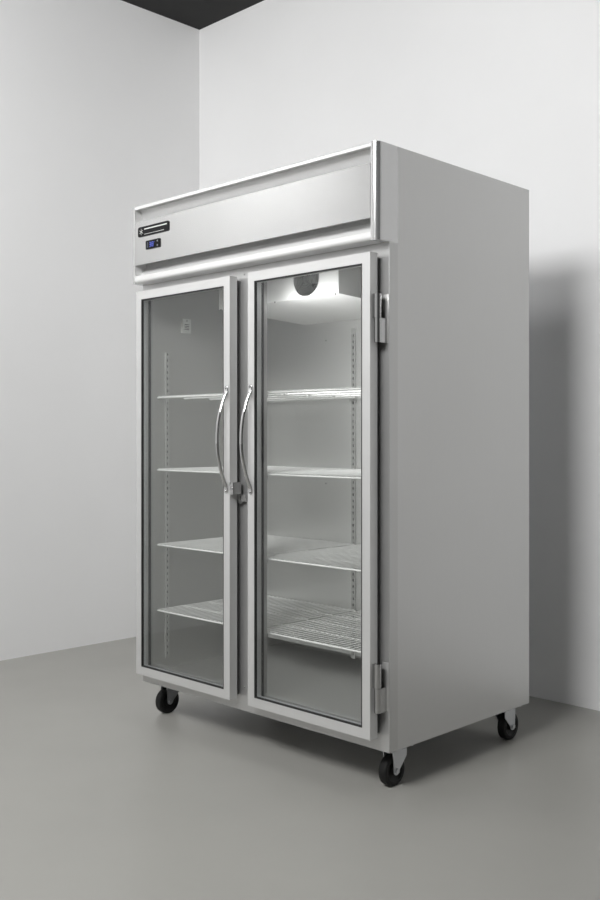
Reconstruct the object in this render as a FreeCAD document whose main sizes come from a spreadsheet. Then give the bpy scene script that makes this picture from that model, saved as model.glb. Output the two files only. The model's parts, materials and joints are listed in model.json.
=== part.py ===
"""Two-door glass merchandiser: an upright refrigerated cabinet on casters.

The origin is on the floor, under the middle of the whole object. +Z is up and the doors face -Y.
Every size comes from the sheet called Sizes, in millimetres, with angles in degrees.
"""
import FreeCAD, Part
import Sketcher
import math
import os
import re

SIZES = [
    # The cabinet's box.
    ("cabinet_width", 1321, "width across the two side panels"),
    ("cabinet_depth", 832, "front face to rear face"),
    ("total_height", 2089, "floor to the top of the header"),
    ("base_height", 137, "floor to the underside of the cabinet"),
    ("front_face", -361.5, "place of the cabinet's front face, front to back"),
    ("gauge", 1.5, "thickness of the outer steel sheets"),
    ("liner_gauge", 1.2, "thickness of the inner steel sheets"),
    ("side_wall", 52, "side panel's outside to the liner's inside"),
    ("frame_wrap", 42, "how far the front frame and the header trims wrap round each side"),
    ("frame_return", 24, "depth of the front frame round the opening"),
    ("inner_floor", 187, "height of the storage space's floor"),
    ("opening_bottom", 216, "top of the sill"),
    ("opening_top", 1722, "underside of the head"),
    ("inner_ceiling", 1790, "height of the storage space's ceiling"),
    ("machine_floor", 1850, "height of the tray under the refrigeration machine"),
    ("duct_depth", 620, "front face to the duct panel"),
    ("duct_gap", 55, "open slot under the duct panel"),
    ("liner_depth", 772, "front face to the back of the liner"),
    ("mullion_width", 130, "width of the post between the openings"),
    ("mullion_face", 94, "width of the cover strip on the post"),
    ("mullion_top", 1759, "top of the cover strip"),
    ("frame_bend", 2, "outer radius of the bends of the front frame"),
    ("window_edge", 30, "end of the evaporator housing to the window in the duct panel"),
    ("window_drop", 20, "ceiling to the window in the duct panel"),
    ("duct_foot", 12, "width of the duct panel's feet"),
    # The header.
    ("header_bottom", 1776, "underside of the header"),
    ("header_reach", 60, "header's face in front of the cabinet's front face"),
    ("trim_width", 28, "width of the corner trims on the front"),
    ("trim_radius", 20, "outer radius of the corner trims"),
    ("lip_height", 14, "height of the header's top lip"),
    ("lip_depth", 26, "depth of the header's lips, front to back"),
    ("nose_radius", 12, "outer radius of the header's bottom edge"),
    ("lip_radius", 5, "outer radius of the header's lips"),
    ("recess_depth", 55, "depth of the recesses behind the header's face"),
    ("panel_top", 2023, "top of the access panel"),
    ("panel_bottom", 1848, "bottom of the access panel"),
    ("panel_depth", 18, "depth of the access panel's folded edges"),
    ("panel_gap", 1.5, "gap at each end of the access panel"),
    ("lower_lip_top", 1806, "top of the header's bottom lip"),
    ("panel_clear", 3, "gap behind the top and bottom edges of the access panel"),
    ("header_joint", 2, "gap between the header's underside and the cabinet's front face"),
    ("plate_corner", 8, "corner radius of the name plate"),
    ("bezel_corner", 4, "corner radius of the temperature display"),
    ("plate_width", 202, "width of the name plate"),
    ("plate_height", 40, "height of the name plate"),
    ("plate_depth", 3, "how far the name plate stands out"),
    ("plate_side", 607, "middle of the cabinet to the name plate's outer end"),
    ("plate_bottom", 1959, "bottom of the name plate"),
    ("bezel_width", 92, "width of the temperature display"),
    ("bezel_height", 35, "height of the temperature display"),
    ("bezel_depth", 4, "how far the display stands out"),
    ("bezel_side", 554, "middle of the cabinet to the display's outer end"),
    ("bezel_bottom", 1903, "bottom of the display"),
    ("button_size", 7, "side of each display key"),
    ("button_travel", 1, "travel of each display key"),
    ("button_gap", 0.4, "gap round each display key"),
    ("button_proud", 1, "how far the display keys stand out"),
    ("button_floor", 0.5, "thickness of the display behind its keys"),
    ("button_rest", 0.2, "gap behind a display key that is pressed"),
    ("button_end", 14, "display's right end to the middle of its keys"),
    ("button_spread", 9, "display's middle to the middle of each key"),
    # The doors.
    ("door_front", 57, "door's face in front of the cabinet's front face"),
    ("door_thickness", 36, "thickness of the door frame"),
    ("door_margin", 33, "cabinet's side to the door's outer edge"),
    ("centre_gap", 98.6, "gap between the two doors"),
    ("door_bottom", 183.5, "bottom of the doors"),
    ("door_top", 1741, "top of the doors"),
    ("stile_width", 33.4, "width of the door frame's face"),
    ("rebate", 8, "how far the glass goes into the frame"),
    ("glass_setback", 5, "door's face to the outer pane"),
    ("pane", 4, "thickness of each pane"),
    ("glass_unit", 23, "outer face to inner face of the double glazing"),
    ("bead_width", 5, "width of the glazing bead that shows"),
    ("bead_setback", 1, "door's face to the glazing bead"),
    ("spacer_lap", 4, "how far the spacer between the panes shows past the frame"),
    ("gasket_width", 16, "width of the magnetic gasket"),
    ("gasket_inset", 11, "door's edge to the gasket"),
    ("gasket_clear", 1, "clearance between the gasket and the cabinet"),
    # The handles.
    ("handle_offset", 66, "middle of the cabinet to each handle"),
    ("handle_middle", 1141, "height of the handles' middle"),
    ("handle_chord", 356, "distance between the two ends of the bow"),
    ("handle_rise", 45, "door's face to the middle of the bow's bar"),
    ("handle_bar", 7, "radius of the bow's bar"),
    ("foot_length", 11, "end of the bow to the screw in its foot"),
    ("foot_radius", 9, "half the width of each foot"),
    ("foot_thick", 5, "thickness of each foot"),
    ("screw_head", 5, "radius of the handle screws' heads"),
    ("screw_rise", 2.5, "height of the handle screws' heads"),
    ("foot_lap", 8, "how far each foot reaches along the bow"),
    # The hinges and locks.
    ("hinge_inset", 20.5, "cabinet's side to the hinge pin"),
    ("hinge_reach", 34, "hinge pin in front of the cabinet's front face"),
    ("hinge_radius", 11.5, "radius of the hinge knuckles"),
    ("hinge_pin", 4, "radius of the hinge pins"),
    ("hinge_half", 78, "height of each hinge half"),
    ("hinge_gap", 0.6, "gap between the two halves of a hinge"),
    ("hinge_fit", 0.05, "clearance round the hinge pin"),
    ("arm_width", 19, "width of the arm behind each fixed knuckle"),
    ("arm_shift", 1, "hinge pin to the middle of its arm"),
    ("pin_share", 1.5, "length of a hinge pin, in hinge halves"),
    ("upper_hinge", 1452, "bottom of the upper hinges"),
    ("lower_hinge", 270, "bottom of the lower hinges"),
    ("lock_width", 18, "how far the lock case stands out of the left door's edge"),
    ("lock_bottom", 939, "bottom of the lock case"),
    ("lock_top", 983, "top of the lock case"),
    ("lock_back", 16, "lock case's back in front of the cabinet's front face"),
    ("lug_thick", 6, "thickness of the lug under the lock case"),
    ("tongue_pivot", 925, "height of the lock tongue's pivot"),
    ("tongue_reach", 23, "length of the lock tongue below its pivot"),
    ("tongue_width", 22, "width of the lock tongue"),
    ("tongue_thick", 4, "thickness of the lock tongue"),
    ("tongue_clear", 0.4, "gap between the lug and the tongue"),
    ("keeper_near", 27.5, "middle of the cabinet to the keeper's free edge"),
    ("keeper_far", 13, "middle of the cabinet to the keeper's stem"),
    ("keeper_gauge", 3, "thickness of the keeper"),
    ("keeper_back", 17.5, "keeper's plate in front of the cabinet's front face"),
    ("keeper_margin", 2, "how far the keeper reaches above and below the tongue"),
    ("keeper_foot", 14, "how far the keeper's foot reaches past its stem"),
    ("lug_lap", 1, "how far the lug reaches into the lock case"),
    # The shelves.
    ("shelf_one", 437, "height of the lowest shelf"),
    ("shelf_two", 708, "height of the second shelf"),
    ("shelf_three", 1017, "height of the third shelf"),
    ("shelf_four", 1316, "height of the top shelf"),
    ("shelf_front", 32, "front face to the shelves' front edge"),
    ("shelf_depth", 563, "depth of the shelves"),
    ("shelf_side_gap", 4, "gap between a shelf and the side wall"),
    ("shelf_centre_gap", 9, "middle of the cabinet to each shelf"),
    ("wire_radius", 2, "radius of the shelf wires"),
    ("rod_radius", 3.5, "radius of the shelf rods"),
    ("wire_pitch", 25, "spacing of the shelf wires"),
    ("standard_width", 20, "width of the slotted shelf standards"),
    ("standard_depth", 6, "depth of the slotted shelf standards"),
    ("slot_pitch", 25.4, "spacing of the slots in the standards"),
    ("standard_bottom", 230, "bottom of the standards"),
    ("standard_top", 1500, "top of the standards"),
    ("post_standard_top", 1600, "top of the standards on the post and behind it"),
    ("standard_front", 85, "front face to the front standards on the side walls"),
    ("standard_rear", 545, "front face to the rear standards on the side walls"),
    ("standard_side", 40, "middle of the cabinet to the standards on the post"),
    ("slot_width", 7, "width of the slots in the standards"),
    ("slot_height", 12, "height of the slots in the standards"),
    ("clip_reach", 16, "how far a shelf clip stands out of its standard"),
    ("clip_width", 14, "width of the shelf clips"),
    ("clip_height", 12, "height of the shelf clips"),
    ("wire_sink", 0.6, "how deep the shelf wires sink into the rods"),
    # The refrigeration.
    ("cooler_width", 648, "width of the evaporator housing"),
    ("cooler_front", 126, "front face to the evaporator housing"),
    ("cooler_bottom", 1658, "bottom of the housing's front"),
    ("cooler_fall", 22, "fall of the housing's bottom towards the back"),
    ("cooler_fan", 60, "radius of the evaporator fans"),
    ("cooler_fan_side", 165, "middle of the cabinet to each evaporator fan"),
    ("cooler_fan_height", 1727, "height of the evaporator fans' axes"),
    ("cooler_hub", 16, "radius of the evaporator fans' hubs"),
    ("cooler_fan_depth", 18, "depth of the evaporator fans"),
    ("cooler_fan_back", 10, "housing's front to the evaporator fans"),
    ("cooler_motor", 26, "radius of the evaporator fans' motors"),
    ("fan_clear", 4, "gap between a fan and its opening"),
    ("coil_end", 40, "end of the housing to the evaporator coil"),
    ("coil_front", 300, "front face to the evaporator coil"),
    ("coil_back", 460, "front face to the back of the evaporator coil"),
    ("coil_lift", 14, "bottom of the housing's front to the coil"),
    ("coil_drop", 6, "ceiling to the coil"),
    ("tube_rows", 3, "number of levels of tubes in the coil"),
    ("tube_columns", 4, "number of tubes on each level"),
    ("tube_first", 20, "coil's front to the first tubes"),
    ("tube_step", 40, "spacing of the tubes, front to back"),
    ("tube_lift", 36, "spacing of the tubes' levels"),
    ("tube_end", 14, "how far the tubes stand out of the coil"),
    ("blade_pitch", 24, "angle of the fan blades"),
    ("blade_gauge", 2, "thickness of the fan blades"),
    ("blade_share", 0.62, "width of a blade, as a share of the fan's radius"),
    ("blade_root", 3, "how deep the blades sink into the hub"),
    ("shaft_radius", 3, "radius of the fan motors' shafts"),
    ("shaft_fit", 0.06, "clearance round the fan motors' shafts"),
    ("shaft_tip", 2.5, "thickness of a hub in front of its shaft"),
    ("shaft_lap", 4, "fan's front to the shaft's end, and fan's back to the motor"),
    ("motor_length", 55, "length of the fan motors"),
    ("strap_width", 24, "width of the straps that hold the fan motors"),
    ("strap_gauge", 3, "thickness of the straps"),
    ("strap_place", 20, "motor's front to its strap"),
    ("condenser_fan", 88, "radius of the condenser fan"),
    ("condenser_side", 300, "middle of the cabinet to the condenser fan's axis"),
    ("condenser_height", 1962, "height of the condenser fan's axis"),
    ("condenser_front", 120, "front face to the condenser coil"),
    ("condenser_half", 200, "half the width of the condenser coil"),
    ("condenser_rise", 96, "fan's axis to the top of the condenser coil"),
    ("condenser_core", 44, "depth of the condenser coil"),
    ("shroud_depth", 12, "depth of the fan's shroud"),
    ("condenser_fan_back", 62, "front of the coil to the condenser fan"),
    ("condenser_hub", 22, "radius of the condenser fan's hub"),
    ("condenser_fan_depth", 24, "depth of the condenser fan"),
    ("condenser_motor", 36, "radius of the condenser fan's motor"),
    ("bridge_lift", 20, "condenser fan's rim to the bridge above it"),
    ("shell_lift", 24, "tray to the compressor's shell"),
    ("shell_height", 110, "height of the straight part of the shell"),
    ("dome_height", 48, "height of the shell's domed top"),
    ("sole_margin", 20, "how far the compressor's base plate reaches past the shell"),
    ("sole_depth", 140, "depth of the compressor's base plate"),
    ("sole_gauge", 8, "thickness of the compressor's base plate"),
    ("pad_radius", 14, "radius of the rubber feet under the compressor"),
    ("pad_side", 86, "compressor's middle to its feet, sideways"),
    ("pad_depth", 50, "compressor's middle to its feet, front to back"),
    ("terminal_width", 50, "width of the compressor's terminal box"),
    ("terminal_depth", 64, "depth of the terminal box"),
    ("terminal_low", 60, "tray to the bottom of the terminal box"),
    ("terminal_high", 130, "tray to the top of the terminal box"),
    ("compressor_radius", 86, "radius of the compressor's shell"),
    ("compressor_side", 170, "middle of the cabinet to the compressor"),
    ("compressor_back", 420, "front face to the compressor's middle"),
    ("pipe_radius", 5, "radius of the refrigerant pipes"),
    ("pipe_bend", 30, "radius of the pipes' bends"),
    ("pipe_gap", 0.5, "gap between a pipe's end and what it meets"),
    ("discharge_height", 100, "tray to the discharge pipe at the compressor"),
    ("discharge_top", 170, "tray to the discharge pipe at the coil"),
    ("discharge_reach", 70, "shell to the discharge pipe's first bend"),
    ("suction_height", 70, "tray to the suction pipe"),
    ("suction_back", 90, "shell to the suction pipe's first bend"),
    ("suction_side", 330, "compressor's middle to the suction pipe's fall"),
    ("liquid_height", 40, "tray to the liquid pipe"),
    ("liquid_reach", 45, "coil's end to the liquid pipe's first bend"),
    ("liquid_back", 20, "compressor's middle to the liquid pipe's fall"),
    # The guard behind the machine, the supply inlet and the probe.
    ("guard_drop", 20, "top of the header to the top of the guard"),
    ("guard_columns", 11, "number of columns of slots"),
    ("guard_rows", 9, "number of slots in each column"),
    ("guard_column_step", 112, "spacing of the columns"),
    ("guard_row_step", 18, "spacing of the slots in a column"),
    ("guard_slot_width", 92, "width of each slot"),
    ("guard_slot_height", 6, "height of each slot"),
    ("guard_first_slot", 40, "tray to the lowest slots"),
    ("inlet_side", 560, "middle of the cabinet to the supply inlet"),
    ("inlet_height", 24, "tray to the supply inlet's middle"),
    ("inlet_bore", 5, "radius of the supply inlet"),
    ("inlet_boss", 14, "radius of the supply inlet's collar"),
    ("inlet_fit", 0.2, "gap round the supply inlet's collar"),
    ("inlet_gap", 0.5, "gap between the inlet box and the guard"),
    ("inlet_box_width", 80, "width of the inlet box"),
    ("inlet_box_depth", 70, "depth of the inlet box"),
    ("inlet_box_top", 60, "tray to the top of the inlet box"),
    ("probe_front", 158, "front face to the probe's cover"),
    ("probe_back", 202, "front face to the back of the probe's cover"),
    ("probe_bottom", 1588, "bottom of the probe's cover"),
    ("probe_top", 1648, "top of the probe's cover"),
    ("probe_depth", 14, "how far the probe's cover stands out of the wall"),
    # The casters.
    ("wheel_radius", 52, "radius of the caster wheels"),
    ("wheel_width", 32, "width of the caster wheels"),
    ("wheel_side", 602, "middle of the cabinet to each caster"),
    ("trail", 17, "swivel axis to the wheel's axle"),
    ("front_swivel", 99, "front face to the front casters' swivel axes"),
    ("rear_swivel", 760, "front face to the rear casters' swivel axes"),
    ("fork_gauge", 3, "thickness of the fork's cheeks"),
    ("fork_clear", 3, "gap between the wheel and each cheek"),
    ("axle_radius", 5, "radius of the caster axles"),
    ("axle_fit", 0.05, "clearance round the caster axles"),
    ("axle_end", 5, "how far each axle stands out of the cheeks"),
    ("flange_width", 92, "width of the caster plates"),
    ("flange_depth", 100, "depth of the caster plates"),
    ("flange_gauge", 4, "thickness of the caster plates"),
    ("cup_radius", 30, "radius of the cup under each caster plate"),
    ("cup_depth", 13, "underside of the cabinet to the underside of the cup"),
    ("stem_radius", 6, "radius of the swivel stems"),
    ("stem_end", 24, "underside of the cabinet to the end of the stem"),
    ("stem_length", 12, "length of the swivel stems"),
    ("stem_fit", 0.06, "clearance round the swivel stems"),
    ("swivel_gap", 0.4, "gap between the cup and the fork"),
    ("race_radius", 27, "radius of the fork's race"),
    ("race_end", 20, "underside of the cabinet to the top of the fork's bridge"),
    ("bridge_gauge", 4, "thickness of the fork's bridge"),
    ("cheek_half", 35, "half the width of the cheeks at the bridge"),
    ("cheek_tip", 14, "radius of the cheeks' rounded ends"),
    ("cheek_shoulder", 20, "bridge to where the edges behind the axle slant in"),
    ("tread_bevel", 4, "bevel of the wheels' rims"),
    ("rim_width", 16, "wheel's edge to its dished face"),
    ("dish_depth", 4, "depth of the dished faces"),
    ("wheel_hub", 14, "radius of the wheels' hubs"),
    ("hub_proud", 1, "how far the hubs stand out of the wheels"),
]

HALF = "cabinet_width / 2"
INNER = "(cabinet_width / 2 - side_wall)"
REAR = "front_face + cabinet_depth"
SIDES = {"left": -1, "right": 1}
SHELVES = ("shelf_one", "shelf_two", "shelf_three", "shelf_four")
PLANES = {"XY": "XY_Plane", "XZ": "XZ_Plane", "YZ": "YZ_Plane"}
TURNS = {
    "X": FreeCAD.Rotation(FreeCAD.Vector(0, 1, 0), 90),
    "Y": FreeCAD.Rotation(FreeCAD.Vector(1, 0, 0), -90),
    "Z": FreeCAD.Rotation(),
}

doc = FreeCAD.newDocument("glass_door_merchandiser")
sheet = doc.addObject("Spreadsheet::Sheet", "Sizes")
for row, (alias, amount, meaning) in enumerate(SIZES, start=1):
    sheet.set(f"A{row}", meaning)
    sheet.set(f"B{row}", str(amount))
    sheet.setAlias(f"B{row}", alias)
doc.recompute()

ALIASES = re.compile(r"\b(" + "|".join(alias for alias, _, _ in SIZES) + r")\b")
nodes = []


def size(alias):
    """Reads one cell of the sheet."""
    return float(sheet.get(alias))


def bind(item, prop, formula):
    """Ties a property to a formula of the sheet's names."""
    item.setExpression(prop, ALIASES.sub(r"Sizes.\1", str(formula)))


def place(item, x, y, z):
    """Ties an item's place to three formulas."""
    for axis, formula in zip("xyz", (x, y, z)):
        bind(item, f"Placement.Base.{axis}", formula)


def block(name, x, y, z):
    """A box between two formulas along each axis, each given as a pair (low, high)."""
    item = doc.addObject("Part::Box", name)
    for prop, (low, high) in zip(("Length", "Width", "Height"), (x, y, z)):
        bind(item, prop, f"({high}) - ({low})")
    place(item, x[0], y[0], z[0])
    return item


def around(middle, width):
    """The two ends of a width about a middle, for a block."""
    return f"{middle} - ({width}) / 2", f"{middle} + ({width}) / 2"


def centred(name, middle, width, y, z):
    """A box whose X is given by its middle and width, for pieces that repeat on both sides."""
    return block(name, around(middle, width), y, z)


def rod(name, axis, start, radius, length):
    """A round bar from its start along an axis."""
    item = doc.addObject("Part::Cylinder", name)
    item.Placement.Rotation = TURNS[axis]
    bind(item, "Radius", radius)
    bind(item, "Height", length)
    place(item, *start)
    return item


def cut(name, base, *tools):
    """The base with the tools taken away."""
    item = doc.addObject("Part::Cut", name)
    item.Base = base
    item.Tool = tools[0] if len(tools) == 1 else fuse(name + "_tools", *tools)
    return item


def fuse(name, *pieces):
    """Several overlapping pieces joined into one solid."""
    item = doc.addObject("Part::MultiFuse", name)
    item.Shapes = list(pieces)
    return item


def node(name, *pieces):
    """Makes a named sub-part of one piece or of a group of separate solids."""
    item = pieces[0]
    if len(pieces) > 1:
        item = doc.addObject("Part::Compound", name + "_group")
        item.Links = list(pieces)
    item.Label = name
    nodes.append(item)
    return item


def outline(sketch, corners):
    """Draws a closed outline whose corners are tied to pairs of formulas."""
    count = len(corners)
    ring = [
        FreeCAD.Vector(math.cos(2 * math.pi * turn / count), math.sin(2 * math.pi * turn / count), 0)
        for turn in range(count)
    ]
    for index in range(count):
        sketch.addGeometry(Part.LineSegment(ring[index], ring[(index + 1) % count]), False)
    for index in range(count):
        following = (index + 1) % count
        sketch.addConstraint(Sketcher.Constraint("Coincident", index, 2, following, 1))
    for index, corner in enumerate(corners):
        for kind, formula in zip(("DistanceX", "DistanceY"), corner):
            number = sketch.addConstraint(Sketcher.Constraint(kind, -1, 1, index, 1, 1.0))
            bind(sketch, f"Constraints[{number}]", formula)


def profile(name, plane, corners, depth, rounds=()):
    """A body padded from an outline; rounds holds (radius formula, corner numbers) pairs."""
    body = doc.addObject("PartDesign::Body", name)
    sketch = body.newObject("Sketcher::SketchObject", name + "_outline")
    origin = [item for item in body.Origin.OriginFeatures if item.Role == PLANES[plane]][0]
    sketch.AttachmentSupport = (origin, "")
    sketch.MapMode = "FlatFace"
    outline(sketch, corners)
    pad = body.newObject("PartDesign::Pad", name + "_pad")
    pad.Profile = sketch
    bind(pad, "Length", depth)
    doc.recompute()
    base = pad
    for number, (radius, picked) in enumerate(rounds):
        points = [sketch.Placement.multVec(sketch.Geometry[index].StartPoint) for index in picked]
        fillet = body.newObject("PartDesign::Fillet", f"{name}_round_{number}")
        fillet.Base = (base, edges_at(base.Shape, points, pad.Direction))
        bind(fillet, "Radius", radius)
        doc.recompute()
        base = fillet
    body.Tip = base
    return body


def edges_at(shape, points, direction):
    """Names of the straight edges that run along a direction through any of the points."""
    names = []
    for number, edge in enumerate(shape.Edges, start=1):
        if not isinstance(edge.Curve, Part.Line):
            continue
        run = edge.Vertexes[-1].Point - edge.Vertexes[0].Point
        if run.cross(direction).Length > 1e-6 * run.Length:
            continue
        near = [point for point in points if (edge.Vertexes[0].Point - point).cross(direction).Length < 1e-4]
        if near:
            names.append(f"Edge{number}")
    return names


def behind(distance):
    """A place at a distance behind the cabinet's front face."""
    return f"front_face + ({distance})"


def ahead(distance):
    """A place at a distance in front of the cabinet's front face."""
    return f"front_face - ({distance})"


# Outer shell -------------------------------------------------------------------------------------

def outer_shell():
    """Side panels, back, base and the tray under the machine."""
    between = (f"-({HALF} - gauge)", f"{HALF} - gauge")
    for side, sign in SIDES.items():
        sheet_side = centred(
            f"side_{side}", f"{sign} * ({HALF} - gauge / 2)", "gauge",
            (behind("frame_wrap"), REAR), ("base_height + gauge", "total_height"),
        )
        node(f"side_panel_{side}", sheet_side)
    back = block("back", between, (f"{REAR} - gauge", REAR), ("base_height + gauge", "machine_floor"))
    node("back_panel", back)
    underside = block(
        "underside", (f"-{HALF}", HALF), ("front_face", REAR), ("base_height", "base_height + gauge"),
    )
    node("base_panel", underside)
    tray = block(
        "tray", between, (behind("frame_wrap"), REAR), ("machine_floor", "machine_floor + gauge"),
    )
    node("machine_tray", tray)


def front_frame():
    """Two jambs, a sill and a head of folded steel round the opening."""
    pieces = []
    for side, sign in SIDES.items():
        outer, inner = f"{sign} * {HALF}", f"{sign} * {INNER}"
        outer_back, inner_back = f"{sign} * ({HALF} - gauge)", f"{sign} * ({INNER} + liner_gauge)"
        corners = [
            (outer, "0"), (outer, "frame_wrap"), (outer_back, "frame_wrap"), (outer_back, "gauge"),
            (inner_back, "gauge"), (inner_back, "frame_return"), (inner, "frame_return"), (inner, "0"),
        ]
        jamb = profile(f"jamb_{side}", "XY", corners, "header_bottom - base_height - gauge",
                       [("frame_bend", [0])])
        place(jamb, "0", "front_face", "base_height + gauge")
        pieces.append(jamb)
    sill = [
        ("0", "base_height + gauge"), ("0", "opening_bottom"), ("frame_return", "opening_bottom"),
        ("frame_return", "opening_bottom - liner_gauge"), ("gauge", "opening_bottom - liner_gauge"),
        ("gauge", "base_height + gauge"),
    ]
    head = [
        ("0", "header_bottom"), ("0", "opening_top"), ("frame_return", "opening_top"),
        ("frame_return", "opening_top + liner_gauge"), ("gauge", "opening_top + liner_gauge"),
        ("gauge", "header_bottom"),
    ]
    for name, corners in (("sill", sill), ("head", head)):
        rail = profile(name, "YZ", corners, f"2 * {INNER}", [("frame_bend", [1])])
        place(rail, f"-{INNER}", "front_face", "0")
        pieces.append(rail)
    node("front_frame", *pieces)


def mullion():
    """The post between the openings, a steel tube with a cover strip on its face."""
    depth = (behind("0"), behind("frame_return"))
    height = ("opening_bottom", "opening_top")
    core = (behind("gauge"), behind("frame_return - gauge"))
    post = cut(
        "post",
        centred("post_outside", "0", "mullion_width", depth, height),
        centred("post_inside", "0", "mullion_width - 2 * gauge", core, height),
    )
    strip = centred(
        "post_strip", "0", "mullion_face", (ahead("liner_gauge"), behind("0")),
        ("opening_bottom", "mullion_top"),
    )
    node("mullion", post, strip)


def insulation():
    """Foam between the shell and the liner, one slab for each wall, and the post's core."""
    outside = f"({HALF} - gauge)"
    lined = f"({INNER} + liner_gauge)"
    depth = (behind("frame_return"), f"{REAR} - gauge")
    between = (f"-{lined}", lined)
    front = behind("frame_return + liner_gauge")
    liner_back = behind("liner_depth + liner_gauge")
    slabs = [
        block("foam_floor", between, (front, liner_back),
              ("base_height + gauge", "inner_floor - liner_gauge")),
        block("foam_ceiling", between, (front, f"{REAR} - gauge"),
              ("inner_ceiling + liner_gauge", "machine_floor")),
        block("foam_back", between, (liner_back, f"{REAR} - gauge"),
              ("base_height + gauge", "inner_ceiling + liner_gauge")),
        centred("foam_post", "0", "mullion_width - 2 * gauge",
                (behind("gauge"), behind("frame_return - gauge")), ("opening_bottom", "opening_top")),
    ]
    for side, sign in SIDES.items():
        slabs.append(centred(
            f"foam_{side}", f"{sign} * ({outside} + {lined}) / 2", f"{outside} - {lined}", depth,
            ("base_height + gauge", "machine_floor"),
        ))
    node("insulation", *slabs)


def interior_liner():
    """Steel lining of the storage space, one sheet for each side."""
    lined = f"({INNER} + liner_gauge)"
    depth = (behind("frame_return"), behind("liner_depth"))
    within = (f"-{INNER}", INNER)
    sheets = [
        block("liner_floor", within, depth, ("inner_floor - liner_gauge", "inner_floor")),
        block("liner_ceiling", within, depth, ("inner_ceiling", "inner_ceiling + liner_gauge")),
        block("liner_back", within, (behind("liner_depth"), behind("liner_depth + liner_gauge")),
              ("inner_floor - liner_gauge", "inner_ceiling + liner_gauge")),
        block("liner_sill", within, (behind("frame_return"), behind("frame_return + liner_gauge")),
              ("inner_floor", "opening_bottom")),
        block("liner_head", within, (behind("frame_return"), behind("frame_return + liner_gauge")),
              ("opening_top", "inner_ceiling")),
    ]
    for side, sign in SIDES.items():
        sheets.append(centred(
            f"liner_{side}", f"{sign} * ({INNER} + {lined}) / 2", "liner_gauge",
            (behind("frame_return"), behind("liner_depth + liner_gauge")),
            ("inner_floor - liner_gauge", "inner_ceiling + liner_gauge"),
        ))
    node("interior_liner", *sheets)


def duct_panel():
    """Removable panel in front of the air duct, open along its bottom."""
    face = cut(
        "duct_face",
        block("duct_plate", (f"-{INNER}", INNER), (behind("duct_depth"), behind("duct_depth + liner_gauge")),
              ("inner_floor + duct_gap", "inner_ceiling")),
        centred("duct_window", "0", "cooler_width - 2 * window_edge",
                (behind("duct_depth - gauge"), behind("duct_depth + 2 * gauge")),
                ("cooler_bottom", "inner_ceiling - window_drop")),
    )
    feet = [
        centred(f"duct_foot_{side}", f"{sign} * ({INNER} - duct_foot / 2)", "duct_foot",
                (behind("duct_depth"), behind("duct_depth + liner_gauge")),
                ("inner_floor", "inner_floor + duct_gap"))
        for side, sign in SIDES.items()
    ]
    node("duct_panel", fuse("duct_sheet", face, *feet))


# Shelves -----------------------------------------------------------------------------------------

def standard_places():
    """Middle X, middle Y, facing and top of each shelf standard, as formulas."""
    places = []
    for side, sign in SIDES.items():
        wall = f"{sign} * ({INNER} - standard_depth / 2)"
        places.append((f"{side}_wall_front", wall, behind("standard_front"), "X", "standard_top"))
        places.append((f"{side}_wall_rear", wall, behind("standard_rear"), "X", "standard_top"))
        post = f"{sign} * standard_side"
        front = behind("frame_return + standard_depth / 2")
        rear = behind("duct_depth - standard_depth / 2")
        places.append((f"{side}_post_front", post, front, "Y", "post_standard_top"))
        places.append((f"{side}_post_rear", post, rear, "Y", "post_standard_top"))
    return places


def shelf_standards():
    """Slotted steel strips that carry the shelf clips."""
    strips = []
    pitch = size("slot_pitch")
    first = ("standard_bottom + slot_pitch / 2", "standard_bottom + slot_pitch / 2 + slot_height")
    for name, x, y, facing, top in standard_places():
        wide, deep = "standard_width", "standard_depth"
        slot_wide, slot_deep = "slot_width", "standard_depth + 2 * gauge"
        if facing == "X":
            wide, deep = deep, wide
            slot_wide, slot_deep = slot_deep, slot_wide
        strip = block(f"strip_{name}", around(x, wide), around(y, deep), ("standard_bottom", top))
        slot = block(f"slot_{name}", around(x, slot_wide), around(y, slot_deep), first)
        rows = doc.addObject("Part::Feature", f"slots_{name}")
        doc.recompute()
        count = int((size(top) - size("standard_bottom")) // pitch)
        rows.Shape = Part.makeCompound([
            slot.Shape.translated(FreeCAD.Vector(0, 0, index * pitch)) for index in range(count)
        ])
        strips.append(cut(f"standard_{name}", strip, rows))
    node("shelf_standards", *strips)


def shelf_clips():
    """A small bracket in each standard under each shelf."""
    clips = []
    for name, x, y, facing, _ in standard_places():
        inward = -SIDES[name.split("_")[0]] if facing == "X" else 0
        forward = 0 if facing == "X" else (1 if "front" in name else -1)
        clip_x = f"{x} + {inward} * (standard_depth + clip_reach) / 2"
        clip_y = f"{y} + {forward} * (standard_depth + clip_reach) / 2"
        wide, deep = ("clip_reach", "clip_width") if facing == "X" else ("clip_width", "clip_reach")
        for level in SHELVES:
            under = f"{level} - wire_radius - 2 * rod_radius"
            clips.append(block(
                f"clip_{name}_{level}", around(clip_x, wide), around(clip_y, deep),
                (f"{under} - clip_height", under),
            ))
    node("shelf_clips", *clips)


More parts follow.
